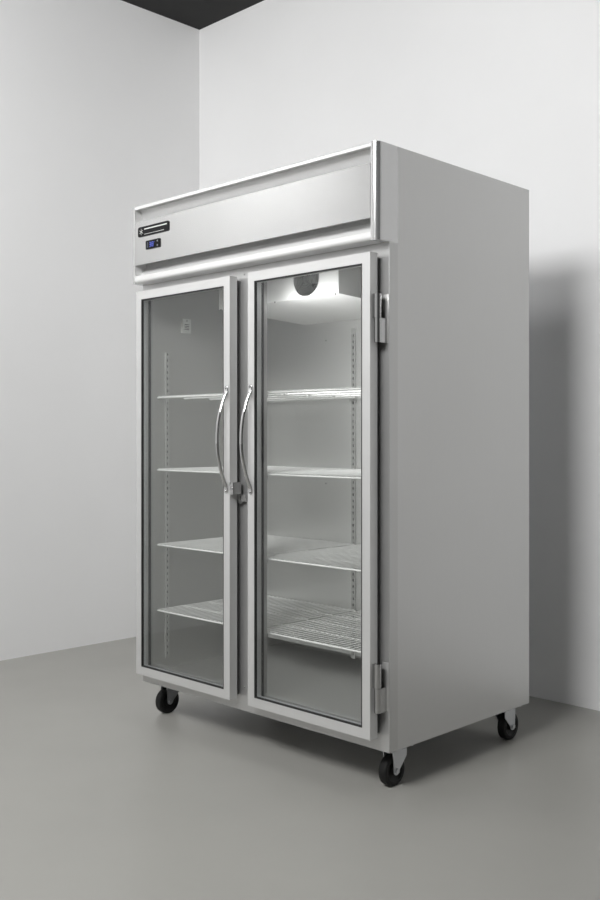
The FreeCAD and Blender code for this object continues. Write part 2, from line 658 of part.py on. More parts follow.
def wire_shelf():
    """One wire shelf, its corner at the origin: wires front to back on rods from side to side."""
    inner = size("cabinet_width") / 2 - size("side_wall")
    length = inner - size("shelf_side_gap") - size("shelf_centre_gap")
    depth = size("shelf_depth")
    wire = size("wire_radius")
    bar = size("rod_radius")
    rods = []
    spans = 4
    for number in range(spans + 1):
        place_y = bar + number * (depth - 2 * bar) / spans
        rods.append(Part.makeCylinder(
            bar, length, FreeCAD.Vector(0, place_y, size("wire_sink") - wire - bar), FreeCAD.Vector(1, 0, 0),
        ))
    pitch = size("wire_pitch")
    count = int((length - 2 * bar) // pitch) + 1
    first = (length - (count - 1) * pitch) / 2
    wires = [
        Part.makeCylinder(
            wire, depth, FreeCAD.Vector(first + index * pitch, 0, 0), FreeCAD.Vector(0, 1, 0),
        )
        for index in range(count)
    ]
    return rods[0].multiFuse(rods[1:] + wires)


def shelves():
    """Four shelves on each side, all alike."""
    pattern = wire_shelf()
    for side, sign in SIDES.items():
        group = []
        for level in SHELVES:
            shelf = doc.addObject("Part::Feature", f"shelf_{side}_{level}")
            shelf.Shape = pattern
            start = "shelf_centre_gap" if sign > 0 else f"-({INNER} - shelf_side_gap)"
            place(shelf, start, behind("shelf_front"), level)
            group.append(shelf)
        node(f"shelves_{side}", *group)


# Header ------------------------------------------------------------------------------------------

def header():
    """Folded frame across the top, with polished corner trims and a hinged access panel."""
    face = "-header_reach"
    corners = [
        (face, "total_height"), (face, "total_height - lip_height"),
        (f"{face} + lip_depth", "total_height - lip_height"),
        (f"{face} + recess_depth", "panel_top + panel_clear"),
        (f"{face} + recess_depth", "panel_bottom - panel_clear"), (f"{face} + lip_depth", "lower_lip_top"),
        (face, "lower_lip_top"), (face, "header_bottom"), ("-header_joint", "header_bottom"),
        ("-header_joint", "header_bottom + gauge"), (f"{face} + gauge", "header_bottom + gauge"),
        (f"{face} + gauge", "lower_lip_top - gauge"),
        (f"{face} + lip_depth + gauge", "lower_lip_top - gauge"),
        (f"{face} + recess_depth + gauge", "panel_bottom - panel_clear - gauge"),
        (f"{face} + recess_depth + gauge", "panel_top + panel_clear + gauge"),
        (f"{face} + lip_depth + gauge", "total_height - lip_height + gauge"),
        (f"{face} + gauge", "total_height - lip_height + gauge"), (f"{face} + gauge", "total_height - gauge"),
        ("frame_wrap", "total_height - gauge"), ("frame_wrap", "total_height"),
    ]
    frame = profile(
        "header_sheet", "YZ", corners, f"2 * ({HALF} - trim_width)",
        [
            ("nose_radius - gauge", [10]), ("nose_radius", [7]),
            ("lip_radius - gauge", [11, 17]), ("lip_radius", [0, 6]),
        ],
    )
    place(frame, f"-({HALF} - trim_width)", "front_face", "0")
    ends = [
        centred(f"header_end_{side}", f"{sign} * ({HALF} - trim_width + gauge / 2)", "gauge",
                (ahead("header_reach - gauge"), ahead("header_joint")),
                ("header_bottom + gauge", "total_height - gauge"))
        for side, sign in SIDES.items()
    ]
    node("header_frame", frame, *ends)
    trims = []
    ends_of_trim = (
        ("bottom", "header_bottom", "-header_joint"), ("top", "total_height - gauge", "frame_wrap"),
    )
    for side, sign in SIDES.items():
        outside = f"{sign} * {HALF}"
        inside = f"{sign} * ({HALF} - gauge)"
        edge = f"{sign} * ({HALF} - trim_width)"
        corners = [
            (outside, face), (outside, "frame_wrap"), (inside, "frame_wrap"), (inside, f"{face} + gauge"),
            (edge, f"{face} + gauge"), (edge, face),
        ]
        trim = profile(
            f"trim_{side}", "XY", corners, "total_height - header_bottom",
            [("trim_radius", [0]), ("trim_radius - gauge", [3])],
        )
        place(trim, "0", "front_face", "header_bottom")
        trims.append(trim)
        for end, low, rear in ends_of_trim:
            corners = [(inside, f"{face} + gauge"), (inside, rear), (edge, rear), (edge, f"{face} + gauge")]
            cap = profile(f"trim_{side}_{end}", "XY", corners, "gauge", [("trim_radius - gauge", [0])])
            place(cap, "0", "front_face", low)
            trims.append(cap)
    node("header_corner_trims", *trims)


def access_panel():
    """Front panel of the header, a shallow folded pan that swings up on its top edge."""
    width = f"2 * ({HALF} - trim_width - panel_gap)"
    rear = ahead("header_reach - panel_depth")
    outside = centred(
        "panel_outside", "0", width, (ahead("header_reach"), rear), ("panel_bottom", "panel_top"),
    )
    inside = centred(
        "panel_inside", "0", f"{width} - 2 * gauge", (ahead("header_reach - gauge"), f"{rear} + gauge"),
        ("panel_bottom + gauge", "panel_top - gauge"),
    )
    node("header_panel", cut("panel_pan", outside, inside))


def rounded_plate(name, left, width, bottom, height, front, depth, radius):
    """A plate with round corners that stands in front of the header."""
    corners = [
        (left, bottom), (f"{left} + {width}", bottom),
        (f"{left} + {width}", f"{bottom} + {height}"), (left, f"{bottom} + {height}"),
    ]
    plate = profile(name, "XZ", corners, depth, [(radius, [0, 1, 2, 3])])
    place(plate, "0", front, "0")
    return plate


def name_plate_and_display():
    """A blank name plate and the temperature display with its two keys."""
    front = ahead("header_reach")
    plate = rounded_plate("plate", "-plate_side", "plate_width", "plate_bottom", "plate_height",
                          front, "plate_depth", "plate_corner")
    node("name_plate", plate)
    bezel = rounded_plate("bezel", "-bezel_side", "bezel_width", "bezel_bottom", "bezel_height",
                          front, "bezel_depth", "bezel_corner")
    holes = []
    key_front = f"{front} - bezel_depth - button_proud"
    hole_back = f"{front} - button_floor"
    for number in (1, 2):
        height = key_height(number)
        holes.append(block(
            f"key_hole_{number}", around(key_middle(), "button_size + 2 * button_gap"),
            (key_front, hole_back), around(height, "button_size + 2 * button_gap"),
        ))
        key = block(
            f"key_{number}", around(key_middle(), "button_size"),
            (key_front, f"{hole_back} - button_travel - button_rest"), around(height, "button_size"),
        )
        node(f"display_key_{number}", key)
    node("temperature_display", cut("display", bezel, *holes))


def key_middle():
    """X of both display keys."""
    return "-bezel_side + bezel_width - button_end"


def key_height(number):
    """Height of a display key's middle."""
    return f"bezel_bottom + bezel_height / 2 + {1 if number == 1 else -1} * button_spread"


# Doors -------------------------------------------------------------------------------------------

def door_edges(sign):
    """X of a door's inner and outer edges."""
    return f"{sign} * centre_gap / 2", f"{sign} * ({HALF} - door_margin)"


def mitred_ring(name, sign, near, far, bottom, top, width, front, depth, cutter=None):
    """Four mitred bars round a rectangle from a near X to a far X, each a separate solid."""
    near_in, far_in = f"{near} + {sign} * {width}", f"{far} - {sign} * {width}"
    low_in, high_in = f"{bottom} + {width}", f"{top} - {width}"
    outlines = {
        "inner": [(near, bottom), (near_in, low_in), (near_in, high_in), (near, top)],
        "outer": [(far, bottom), (far, top), (far_in, high_in), (far_in, low_in)],
        "bottom": [(near, bottom), (far, bottom), (far_in, low_in), (near_in, low_in)],
        "top": [(near, top), (near_in, high_in), (far_in, high_in), (far, top)],
    }
    bars = []
    for part, corners in outlines.items():
        bar = profile(f"{name}_{part}", "XZ", corners, depth)
        place(bar, "0", f"{front} + {depth}", "0")
        bars.append(cut(f"{name}_{part}_cut", bar, cutter) if cutter else bar)
    return bars


def door(side, sign):
    """One door: frame, double glazing, glazing bead, gasket, handle and hinge halves."""
    inner_edge, outer_edge = door_edges(sign)
    face = ahead("door_front")
    back = f"{face} + door_thickness"
    middle = f"({inner_edge} + {outer_edge}) / 2"
    glass_width = f"({HALF} - door_margin - centre_gap / 2 - 2 * (stile_width - rebate))"
    glass_height = ("door_bottom + stile_width - rebate", "door_top - stile_width + rebate")
    pocket = centred(
        f"{side}_pocket", middle, glass_width,
        (f"{face} + glass_setback", f"{face} + glass_setback + glass_unit"), glass_height,
    )
    node(f"{side}_door_frame", *mitred_ring(
        f"{side}_rail", sign, inner_edge, outer_edge, "door_bottom", "door_top", "stile_width", face,
        "door_thickness", pocket,
    ))
    outer_pane = (f"{face} + glass_setback", f"{face} + glass_setback + pane")
    inner_pane = (f"{face} + glass_setback + glass_unit - pane", f"{face} + glass_setback + glass_unit")
    node(
        f"{side}_door_glass",
        centred(f"{side}_outer_pane", middle, glass_width, outer_pane, glass_height),
        centred(f"{side}_inner_pane", middle, glass_width, inner_pane, glass_height),
    )
    bead_inner = f"{inner_edge} + {sign} * stile_width"
    bead_outer = f"{outer_edge} - {sign} * stile_width"
    beads = mitred_ring(
        f"{side}_bead", sign, bead_inner, bead_outer, "door_bottom + stile_width", "door_top - stile_width",
        "bead_width", f"{face} + bead_setback", "glass_setback - bead_setback",
    )
    spacer_inner = f"{inner_edge} + {sign} * (stile_width - rebate)"
    spacer_outer = f"{outer_edge} - {sign} * (stile_width - rebate)"
    beads += mitred_ring(
        f"{side}_spacer", sign, spacer_inner, spacer_outer, glass_height[0], glass_height[1],
        "(rebate + spacer_lap)", f"{face} + glass_setback + pane", "glass_unit - 2 * pane",
    )
    node(f"{side}_glazing_seal", *beads)
    node(f"{side}_door_gasket", *mitred_ring(
        f"{side}_gasket", sign, f"{inner_edge} + {sign} * gasket_inset",
        f"{outer_edge} - {sign} * gasket_inset", "door_bottom + gasket_inset", "door_top - gasket_inset",
        "gasket_width", back, "(door_front - door_thickness - gasket_clear)",
    ))
    handle(side, sign, face)
    door_hinges(side, sign)


def handle(side, sign, face):
    """A bow handle: an arc of round bar with a flat foot and a screw beyond each end."""
    half_chord = size("handle_chord") / 2
    rise = size("handle_rise")
    radius = (half_chord ** 2 + rise ** 2) / (2 * rise)
    spread = math.degrees(math.asin(half_chord / radius))
    bow = doc.addObject("Part::Torus", f"{side}_bow")
    bind(bow, "Radius1", "((handle_chord / 2)^2 + handle_rise^2) / (2 * handle_rise)")
    bind(bow, "Radius2", "handle_bar")
    bow.Angle1 = -180
    bow.Angle2 = 180
    bow.Angle3 = 2 * spread
    bow.Placement.Rotation = FreeCAD.Rotation(FreeCAD.Vector(0, 1, 0), 90).multiply(
        FreeCAD.Rotation(FreeCAD.Vector(0, 0, 1), -90 - spread)
    )
    x = f"{sign} * handle_offset"
    place(bow, x, f"{face} - handle_rise + ((handle_chord / 2)^2 + handle_rise^2) / (2 * handle_rise)",
          "handle_middle")
    door_side = centred(
        f"{side}_bow_trim", x, "6 * handle_bar", (face, f"{face} + 6 * handle_bar"),
        ("handle_middle - handle_chord", "handle_middle + handle_chord"),
    )
    pieces = [cut(f"{side}_bow_cut", bow, door_side)]
    screws = []
    for end, label in ((-1, "low"), (1, "high")):
        near = f"handle_middle + {end} * (handle_chord / 2 - foot_lap)"
        far = f"handle_middle + {end} * (handle_chord / 2 + foot_length)"
        low, high = (near, far) if end > 0 else (far, near)
        pad_front = f"{face} - foot_thick"
        pieces.append(centred(f"{side}_foot_{label}", x, "2 * foot_radius", (pad_front, face), (low, high)))
        pieces.append(rod(f"{side}_toe_{label}", "Y", (x, pad_front, far), "foot_radius", "foot_thick"))
        screws.append(rod(f"{side}_screw_{label}", "Y", (x, f"{pad_front} - screw_rise", far), "screw_head",
                          "screw_rise"))
    node(f"{side}_handle", fuse(f"{side}_handle_solid", *pieces))
    node(f"{side}_handle_screws", *screws)


def hinge_bottoms():
    """Formulas for the bottom of each hinge."""
    return {"lower": "lower_hinge", "upper": "upper_hinge"}


def door_hinges(side, sign):
    """The upper half of each hinge, which turns with the door."""
    x = f"{sign} * ({HALF} - hinge_inset)"
    y = ahead("hinge_reach")
    edge = door_edges(sign)[1]
    halves = []
    for level, bottom in hinge_bottoms().items():
        low = f"{bottom} + hinge_half + hinge_gap"
        high = f"{bottom} + 2 * hinge_half"
        knuckle = rod(f"{side}_{level}_knuckle", "Z", (x, y, low), "hinge_radius", "hinge_half - hinge_gap")
        leaf = centred(
            f"{side}_{level}_leaf", f"({x} + {edge}) / 2", "door_margin - hinge_inset",
            (f"{y} - hinge_radius", f"{y} + hinge_radius"), (low, high),
        )
        bore = rod(f"{side}_{level}_bore", "Z", (x, y, f"{low} - gauge"), "hinge_pin + hinge_fit",
                   "hinge_half / 2 + 2 * gauge")
        solid = fuse(f"{side}_{level}_door_solid", knuckle, leaf)
        halves.append(cut(f"{side}_{level}_door_half", solid, bore))
    node(f"{side}_door_hinges", *halves)


def cabinet_hinges():
    """The lower half of each hinge, fixed to the front frame, with the pin that the door turns on."""
    halves = []
    y = ahead("hinge_reach")
    for side, sign in SIDES.items():
        x = f"{sign} * ({HALF} - hinge_inset)"
        for level, bottom in hinge_bottoms().items():
            name = f"{side}_{level}"
            knuckle = rod(f"{name}_fixed_knuckle", "Z", (x, y, bottom), "hinge_radius", "hinge_half")
            arm = centred(
                f"{name}_arm", f"{x} + {sign} * arm_shift", "arm_width", (y, "front_face"),
                (bottom, f"{bottom} + hinge_half"),
            )
            pin = rod(f"{name}_pin", "Z", (x, y, bottom), "hinge_pin", "hinge_half * pin_share")
            halves.append(fuse(f"{name}_cabinet_half", knuckle, arm, pin))
    node("cabinet_hinges", *halves)


def lock():
    """Lock case on the left door's inner edge, and the tongue that its key turns."""
    edge = door_edges(SIDES["left"])[0]
    width = (edge, f"{edge} + lock_width")
    back = ahead("lock_back")
    case = block("case", width, (ahead("door_front"), back), ("lock_bottom", "lock_top"))
    lug = block("lug", width, (f"{back} - lug_thick", back), ("tongue_pivot", "lock_bottom + lug_lap"))
    middle = f"({edge} + lock_width / 2)"
    toe = rod("lug_toe", "Y", (middle, f"{back} - lug_thick", "tongue_pivot"), "lock_width / 2", "lug_thick")
    node("lock_case", fuse("lock_body", case, lug, toe))
    front = f"{back} + tongue_clear"
    low = "tongue_pivot - tongue_reach + tongue_width / 2"
    boss = rod("tongue_boss", "Y", (middle, front, "tongue_pivot"), "tongue_width / 2", "tongue_thick")
    blade = centred("tongue_blade", middle, "tongue_width", (front, f"{front} + tongue_thick"),
                    (low, "tongue_pivot"))
    tip = rod("tongue_tip", "Y", (middle, front, low), "tongue_width / 2", "tongue_thick")
    node("lock_tongue", fuse("tongue", boss, blade, tip))


def lock_keeper():
    """An angle bracket on the mullion; the turned tongue lies behind its free edge."""
    height = around("tongue_pivot", "tongue_width + 2 * keeper_margin")
    plate_back = ahead("keeper_back")
    plate = block("keeper_plate", ("-keeper_near", "-keeper_far"),
                  (f"{plate_back} - keeper_gauge", plate_back), height)
    stem = block("keeper_stem", ("-keeper_far - keeper_gauge", "-keeper_far"),
                 (f"{plate_back} - keeper_gauge", ahead("liner_gauge")), height)
    foot = block("keeper_foot", ("-keeper_far - keeper_gauge", "-keeper_far + keeper_foot"),
                 (ahead("liner_gauge + keeper_gauge"), ahead("liner_gauge")), height)
    node("lock_keeper", fuse("keeper", plate, stem, foot))


# Refrigeration -----------------------------------------------------------------------------------

def evaporator():
    """Housing under the ceiling with two fans in its front, and the coil inside it."""
    width = "cooler_width"
    corners = [
        ("cooler_front", "inner_ceiling"), ("cooler_front", "cooler_bottom"),
        ("duct_depth", "cooler_bottom - cooler_fall"),
        ("duct_depth", "cooler_bottom - cooler_fall + liner_gauge"),
        ("cooler_front + liner_gauge", "cooler_bottom + liner_gauge"),
        ("cooler_front + liner_gauge", "inner_ceiling"),
    ]
    tray = profile("cooler_sheet", "YZ", corners, f"{width} - 2 * liner_gauge")
    place(tray, f"-{width} / 2 + liner_gauge", "front_face", "0")
    holes = [
        rod(f"cooler_hole_{side}", "Y",
            (f"{sign} * cooler_fan_side", behind("cooler_front - gauge"), "cooler_fan_height"),
            "cooler_fan + fan_clear", "4 * gauge")
        for side, sign in SIDES.items()
    ]
    ends = []
    for side, sign in SIDES.items():
        corners = [
            ("cooler_front", "inner_ceiling"), ("cooler_front", "cooler_bottom"),
            ("duct_depth", "cooler_bottom - cooler_fall"), ("duct_depth", "inner_ceiling"),
        ]
        end = profile(f"cooler_end_{side}", "YZ", corners, "liner_gauge")
        place(end, f"{sign} * {width} / 2 - {1 if sign > 0 else 0} * liner_gauge", "front_face", "0")
        ends.append(end)
    node("evaporator_cover", cut("cooler_front_sheet", tray, *holes), *ends)
    length = "(cooler_width - 2 * coil_end)"
    core = centred("cooler_core", "0", length, (behind("coil_front"), behind("coil_back")),
                   ("cooler_bottom + coil_lift", "inner_ceiling - coil_drop"))
    tubes = []
    for row in range(int(size("tube_rows"))):
        for column in range(int(size("tube_columns"))):
            start = (
                f"-{length} / 2 - tube_end", behind(f"coil_front + tube_first + {column} * tube_step"),
                f"cooler_bottom + ({row} + 1) * tube_lift",
            )
            name = f"cooler_tube_{row}_{column}"
            tubes.append(rod(name, "X", start, "pipe_radius", f"{length} + 2 * tube_end"))
    node("evaporator_coil", fuse("cooler_coil", core, *tubes))


def fan(name, x, y, z, radius, hub_radius, depth):
    """A fan that turns about Y: a hub with four pitched blades and a bore for the motor's shaft."""
    middle = FreeCAD.Vector(0, 0, 0)
    forward = FreeCAD.Vector(0, 1, 0)
    gauge = size("blade_gauge")
    width = radius * size("blade_share")
    root = hub_radius - size("blade_root")
    hub = Part.makeCylinder(hub_radius, depth, middle, forward)
    blades = []
    for quarter in range(4):
        blade = Part.makeBox(width, gauge, radius - root)
        blade.translate(FreeCAD.Vector(-width / 2, -gauge / 2, root))
        blade.rotate(middle, FreeCAD.Vector(0, 0, 1), size("blade_pitch"))
        blade.translate(FreeCAD.Vector(0, depth / 2, 0))
        blade.rotate(middle, forward, 90 * quarter)
        blades.append(blade)
    sweep = Part.makeCylinder(radius, 4 * depth, FreeCAD.Vector(0, -2 * depth, 0), forward)
    bore = Part.makeCylinder(
        size("shaft_radius") + size("shaft_fit"), depth * 2, FreeCAD.Vector(0, size("shaft_tip"), 0), forward,
    )
    item = doc.addObject("Part::Feature", name + "_solid")
    item.Shape = hub.multiFuse(blades).common(sweep).cut(bore)
    place(item, x, y, z)
    node(name, item)


def fans_and_motors():
    """Two evaporator fans and one condenser fan, each on its own motor."""
    motors = []
    for side, sign in SIDES.items():
        x = f"{sign} * cooler_fan_side"
        front = "cooler_front + cooler_fan_back"
        fan(f"evaporator_fan_{side}", x, behind(front), "cooler_fan_height",
            size("cooler_fan"), size("cooler_hub"), size("cooler_fan_depth"))
        motors.append(motor(f"cooler_{side}", x, f"{front} + cooler_fan_depth", "cooler_fan_height",
                            "cooler_motor", "cooler_fan_depth", "inner_ceiling"))
    front = "condenser_front + condenser_fan_back"
    fan("condenser_fan", "-condenser_side", behind(front), "condenser_height",
        size("condenser_fan"), size("condenser_hub"), size("condenser_fan_depth"))
    motors.append(motor("condenser", "-condenser_side", f"{front} + condenser_fan_depth", "condenser_height",
                        "condenser_motor", "condenser_fan_depth",
                        "condenser_height + condenser_fan + bridge_lift"))
    node("fan_motors", *motors)


def motor(name, x, fan_back, z, radius, fan_depth, hanger_top):
    """A fan motor with its shaft and a strap that holds it from above."""
    front = f"{fan_back} + shaft_lap"
    can = rod(f"{name}_can", "Y", (x, behind(front), z), radius, "motor_length")
    shaft = rod(f"{name}_shaft", "Y", (x, behind(f"{front} - {fan_depth}"), z), "shaft_radius",
                f"{fan_depth} + 2 * strap_gauge")
    strap = centred(
        f"{name}_strap", x, "strap_width",
        (behind(f"{front} + strap_place"), behind(f"{front} + strap_place + strap_gauge")), (z, hanger_top),
    )
    return fuse(f"{name}_motor", can, shaft, strap)


def condensing_unit():
    """Condenser coil, its fan's shroud and the compressor on the machine tray."""
    floor = "machine_floor + gauge"
    width = around("-condenser_side", "2 * condenser_half")
    height = (floor, "condenser_height + condenser_rise")
    coil_back = "condenser_front + condenser_core"
    core = block("condenser_block", width, (behind("condenser_front"), behind(coil_back)), height)
    shroud = cut(
        "shroud_ring",
        block("shroud_plate", width, (behind(coil_back), behind(f"{coil_back} + shroud_depth")), height),
        rod("shroud_hole", "Y", ("-condenser_side", behind(f"{coil_back} - gauge"), "condenser_height"),
            "condenser_fan + fan_clear", "shroud_depth + 2 * gauge"),
    )
    strap_back = (
        "condenser_front + condenser_fan_back + condenser_fan_depth + shaft_lap + strap_place + strap_gauge"
    )
    above_fan = "condenser_height + condenser_fan + bridge_lift"
    bridge = block(
        "motor_bridge", around("-condenser_side", "strap_width"),
        (behind(f"{coil_back} + shroud_depth"), behind(strap_back)),
        (above_fan, f"{above_fan} + strap_gauge"),
    )
    node("condenser_coil", core, shroud, bridge)
    x = "compressor_side"
    y = behind("compressor_back")
    shell = rod("shell_body", "Z", (x, y, f"{floor} + shell_lift"), "compressor_radius", "shell_height")
    dome = doc.addObject("Part::Ellipsoid", "shell_dome")
    bind(dome, "Radius1", "dome_height")
    bind(dome, "Radius2", "compressor_radius")
    bind(dome, "Radius3", "compressor_radius")
    place(dome, x, y, f"{floor} + shell_lift + shell_height")
    sole = centred(
        "shell_sole", x, "2 * (compressor_radius + sole_margin)", around(y, "sole_depth"),
        (f"{floor} + shell_lift - sole_gauge", f"{floor} + shell_lift"),
    )
    pads = [
        rod(f"shell_pad_{right}_{rear}", "Z",
            (f"{x} + {right} * pad_side", f"{y} + {rear} * pad_depth", floor),
            "pad_radius", "shell_lift - sole_gauge")
        for right in (-1, 1) for rear in (-1, 1)
    ]
    terminal = centred(
        "shell_terminal", f"{x} + compressor_radius", "terminal_width", around(y, "terminal_depth"),
        (f"{floor} + terminal_low", f"{floor} + terminal_high"),
    )
    node("compressor", fuse("compressor_solid", shell, dome, sole, *pads, terminal))


def pipe(name, points, radius):
    """A round pipe along straight runs joined by tangent arcs."""
    spots = [FreeCAD.Vector(*point) for point in points]
    bend = size("pipe_bend")
    edges = []
    start = spots[0]
    for before, corner, after in zip(spots, spots[1:], spots[2:]):
        back = (before - corner).normalize()
        onward = (after - corner).normalize()
        turn = math.pi - back.getAngle(onward)
        reach = bend * math.tan(turn / 2)
        first = corner + back * reach
        last = corner + onward * reach
        towards = (back + onward).normalize()
        middle = corner + towards * (bend / math.cos(turn / 2) - bend)
        edges.append(Part.LineSegment(start, first).toShape())
        edges.append(Part.Arc(first, middle, last).toShape())
        start = last
    edges.append(Part.LineSegment(start, spots[-1]).toShape())
    path = Part.Wire(edges)
    ring = Part.Wire([Part.makeCircle(radius, spots[0], spots[1] - spots[0])])
    item = doc.addObject("Part::Feature", name)
    item.Shape = path.makePipeShell([ring], True, True)
    return item


def pipework():
    """Discharge, suction and liquid lines of the refrigeration machine."""
    front = size("front_face")
    floor = size("machine_floor") + size("gauge")
    shell_x = size("compressor_side")
    shell_y = front + size("compressor_back")
    clear = size("compressor_radius") + size("pipe_gap")
    coil_end = size("condenser_half") - size("condenser_side") + size("pipe_gap")
    coil_y = front + size("condenser_front") + size("condenser_core") / 2
    low = floor + size("discharge_height")
    high = floor + size("discharge_top")
    turn_x = shell_x - clear - size("discharge_reach")
    discharge = [
        (shell_x - clear, shell_y, low), (turn_x, shell_y, low), (turn_x, coil_y, low),
        (turn_x, coil_y, high), (coil_end, coil_y, high),
    ]
    level = floor + size("suction_height")
    turn_y = shell_y + clear + size("suction_back")
    fall_x = shell_x - size("suction_side")
    suction = [(shell_x, shell_y + clear, level), (shell_x, turn_y, level), (fall_x, turn_y, level),
               (fall_x, turn_y, floor)]
    level = floor + size("liquid_height")
    turn_x = coil_end + size("liquid_reach")
    fall_y = shell_y + size("liquid_back")
    liquid = [(coil_end, coil_y, level), (turn_x, coil_y, level), (turn_x, fall_y, level),
              (turn_x, fall_y, floor)]
    runs = (("discharge", discharge), ("suction", suction), ("liquid", liquid))
    node("refrigerant_pipes", *[pipe(name, points, size("pipe_radius")) for name, points in runs])


def rear_guard():
    """Slotted guard behind the machine, and the supply cord's inlet box."""
    between = (f"-({HALF} - gauge)", f"{HALF} - gauge")
    panel = block("guard_sheet", between, (f"{REAR} - gauge", REAR),
                  ("machine_floor + gauge", "total_height - guard_drop"))
    through = (f"{REAR} - 2 * gauge", f"{REAR} + gauge")
    columns = int(size("guard_columns"))
    slots = []
    for column in range(columns):
        middle = f"({column} - (guard_columns - 1) / 2) * guard_column_step"
        for row in range(int(size("guard_rows"))):
            low = f"machine_floor + guard_first_slot + {row} * guard_row_step"
            slots.append(block(
                f"guard_slot_{column}_{row}", around(middle, "guard_slot_width"), through,
                (low, f"{low} + guard_slot_height"),
            ))
    inlet_z = "machine_floor + inlet_height"
    hole = rod("guard_inlet_hole", "Y", ("inlet_side", through[0], inlet_z), "inlet_boss + inlet_fit",
               "3 * gauge")
    tools = doc.addObject("Part::Compound", "guard_openings")
    tools.Links = slots + [hole]
    node("rear_guard", cut("guard", panel, tools))
    box_back = f"{REAR} - gauge - inlet_gap"
    box = block(
        "inlet_case", around("inlet_side", "inlet_box_width"), (f"{box_back} - inlet_box_depth", box_back),
        ("machine_floor + gauge", "machine_floor + inlet_box_top"),
    )
    collar = cut(
        "inlet_collar",
        rod("inlet_ring", "Y", ("inlet_side", box_back, inlet_z), "inlet_boss", "gauge + inlet_gap"),
        rod("inlet_opening", "Y", ("inlet_side", f"{box_back} - inlet_gap", inlet_z), "inlet_bore",
            "gauge + 3 * inlet_gap"),
    )
    node("cord_inlet", box, collar)


def temperature_probe():
    """Vented cover of the air temperature probe on the left wall."""
    node("temperature_probe", block(
        "probe_cover", (f"-{INNER}", f"-{INNER} + probe_depth"),
        (behind("probe_front"), behind("probe_back")), ("probe_bottom", "probe_top"),
    ))


# Casters -----------------------------------------------------------------------------------------

def casters():
    """Four swivel casters, the front ones trailing forwards and the rear ones backwards."""
    plates = []
    for end, swivel, direction in (("front", "front_swivel", -1), ("rear", "rear_swivel", 1)):
        for side, sign in SIDES.items():
            name = f"{end}_{side}"
            x = f"{sign} * wheel_side"
            y = behind(swivel)
            flange = centred(f"{name}_flange", x, "flange_width", around(y, "flange_depth"),
                             ("base_height - flange_gauge", "base_height"))
            cup = rod(f"{name}_cup", "Z", (x, y, "base_height - cup_depth"), "cup_radius",
                      "cup_depth - flange_gauge")
            stem = rod(f"{name}_stem", "Z", (x, y, "base_height - stem_end"), "stem_radius", "stem_length")
            plates.append(fuse(f"{name}_mounting", flange, cup, stem))
            caster_fork(name, x, y, direction)
            caster_wheel(name, x, f"{y} + {direction} * trail")
    node("caster_plates", *plates)


def caster_fork(name, x, y, direction):
    """Swivelling fork: a round race, a bridge, two tapered cheeks with rounded ends, and the axle."""
    bridge_top = "base_height - race_end"
    bridge_under = f"{bridge_top} - bridge_gauge"
    half_gap = "(wheel_width / 2 + fork_clear)"
    bore = rod(f"{name}_race_bore", "Z", (x, y, f"{bridge_under} - bridge_gauge"), "stem_radius + stem_fit",
               "race_end")
    race = rod(f"{name}_race", "Z", (x, y, bridge_top), "race_radius", "race_end - cup_depth - swivel_gap")
    bridge = centred(
        f"{name}_bridge", x, f"2 * ({half_gap} + fork_gauge)", around(y, "2 * cheek_half"),
        (bridge_under, bridge_top),
    )
    pieces = [cut(f"{name}_crown", fuse(f"{name}_crown_solid", race, bridge), bore)]
    axle_y = f"{direction} * trail"
    for cheek in (-1, 1):
        corners = [
            (f"{-direction} * cheek_half", bridge_under), (f"{direction} * cheek_half", bridge_under),
            (f"{axle_y} + {direction} * cheek_tip", "wheel_radius"),
            (f"{axle_y} - {direction} * cheek_tip", "wheel_radius"),
            (f"{-direction} * cheek_half", f"{bridge_under} - cheek_shoulder"),
        ]
        cheek_face = f"{x} + {cheek} * ({half_gap} + fork_gauge / 2) - fork_gauge / 2"
        plate = profile(f"{name}_cheek_{cheek + 1}", "YZ", corners, "fork_gauge")
        place(plate, cheek_face, y, "0")
        pieces.append(plate)
        pieces.append(rod(f"{name}_cheek_end_{cheek + 1}", "X",
                          (cheek_face, f"{y} + {axle_y}", "wheel_radius"), "cheek_tip", "fork_gauge"))
    half_axle = f"({half_gap} + fork_gauge + axle_end)"
    axle = rod(
        f"{name}_axle", "X", (f"{x} - {half_axle}", f"{y} + {axle_y}", "wheel_radius"),
        "axle_radius", f"2 * {half_axle}",
    )
    node(f"caster_fork_{name}", fuse(f"{name}_fork_solid", *pieces, axle))


def caster_wheel(name, x, y):
    """Wheel with a crowned tread, a dished hub and an axle bore."""
    half = "wheel_width / 2"
    bevel = size("tread_bevel")
    tyre = rod(f"{name}_tyre", "X", (f"{x} - {half}", y, "wheel_radius"), "wheel_radius", "wheel_width")
    crown = doc.addObject("Part::Chamfer", f"{name}_crown_edge")
    doc.recompute()
    crown.Base = tyre
    rims = [n for n, edge in enumerate(tyre.Shape.Edges, start=1) if isinstance(edge.Curve, Part.Circle)]
    crown.Edges = [(number, bevel, bevel) for number in rims]
    dishes = [
        rod(f"{name}_dish_{face + 1}", "X", (f"{x} + {face} * {half} - dish_depth", y, "wheel_radius"),
            "wheel_radius - rim_width", "2 * dish_depth")
        for face in (-1, 1)
    ]
    half_hub = f"({half} + hub_proud)"
    hub = rod(f"{name}_hub", "X", (f"{x} - {half_hub}", y, "wheel_radius"), "wheel_hub", f"2 * {half_hub}")
    bore = rod(f"{name}_bore", "X", (f"{x} - 2 * {half_hub}", y, "wheel_radius"), "axle_radius + axle_fit",
               f"4 * {half_hub}")
    rim = cut(f"{name}_rim", crown, *dishes)
    node(f"caster_wheel_{name}", cut(f"{name}_wheel", fuse(f"{name}_wheel_solid", rim, hub), bore))


# The whole object --------------------------------------------------------------------------------

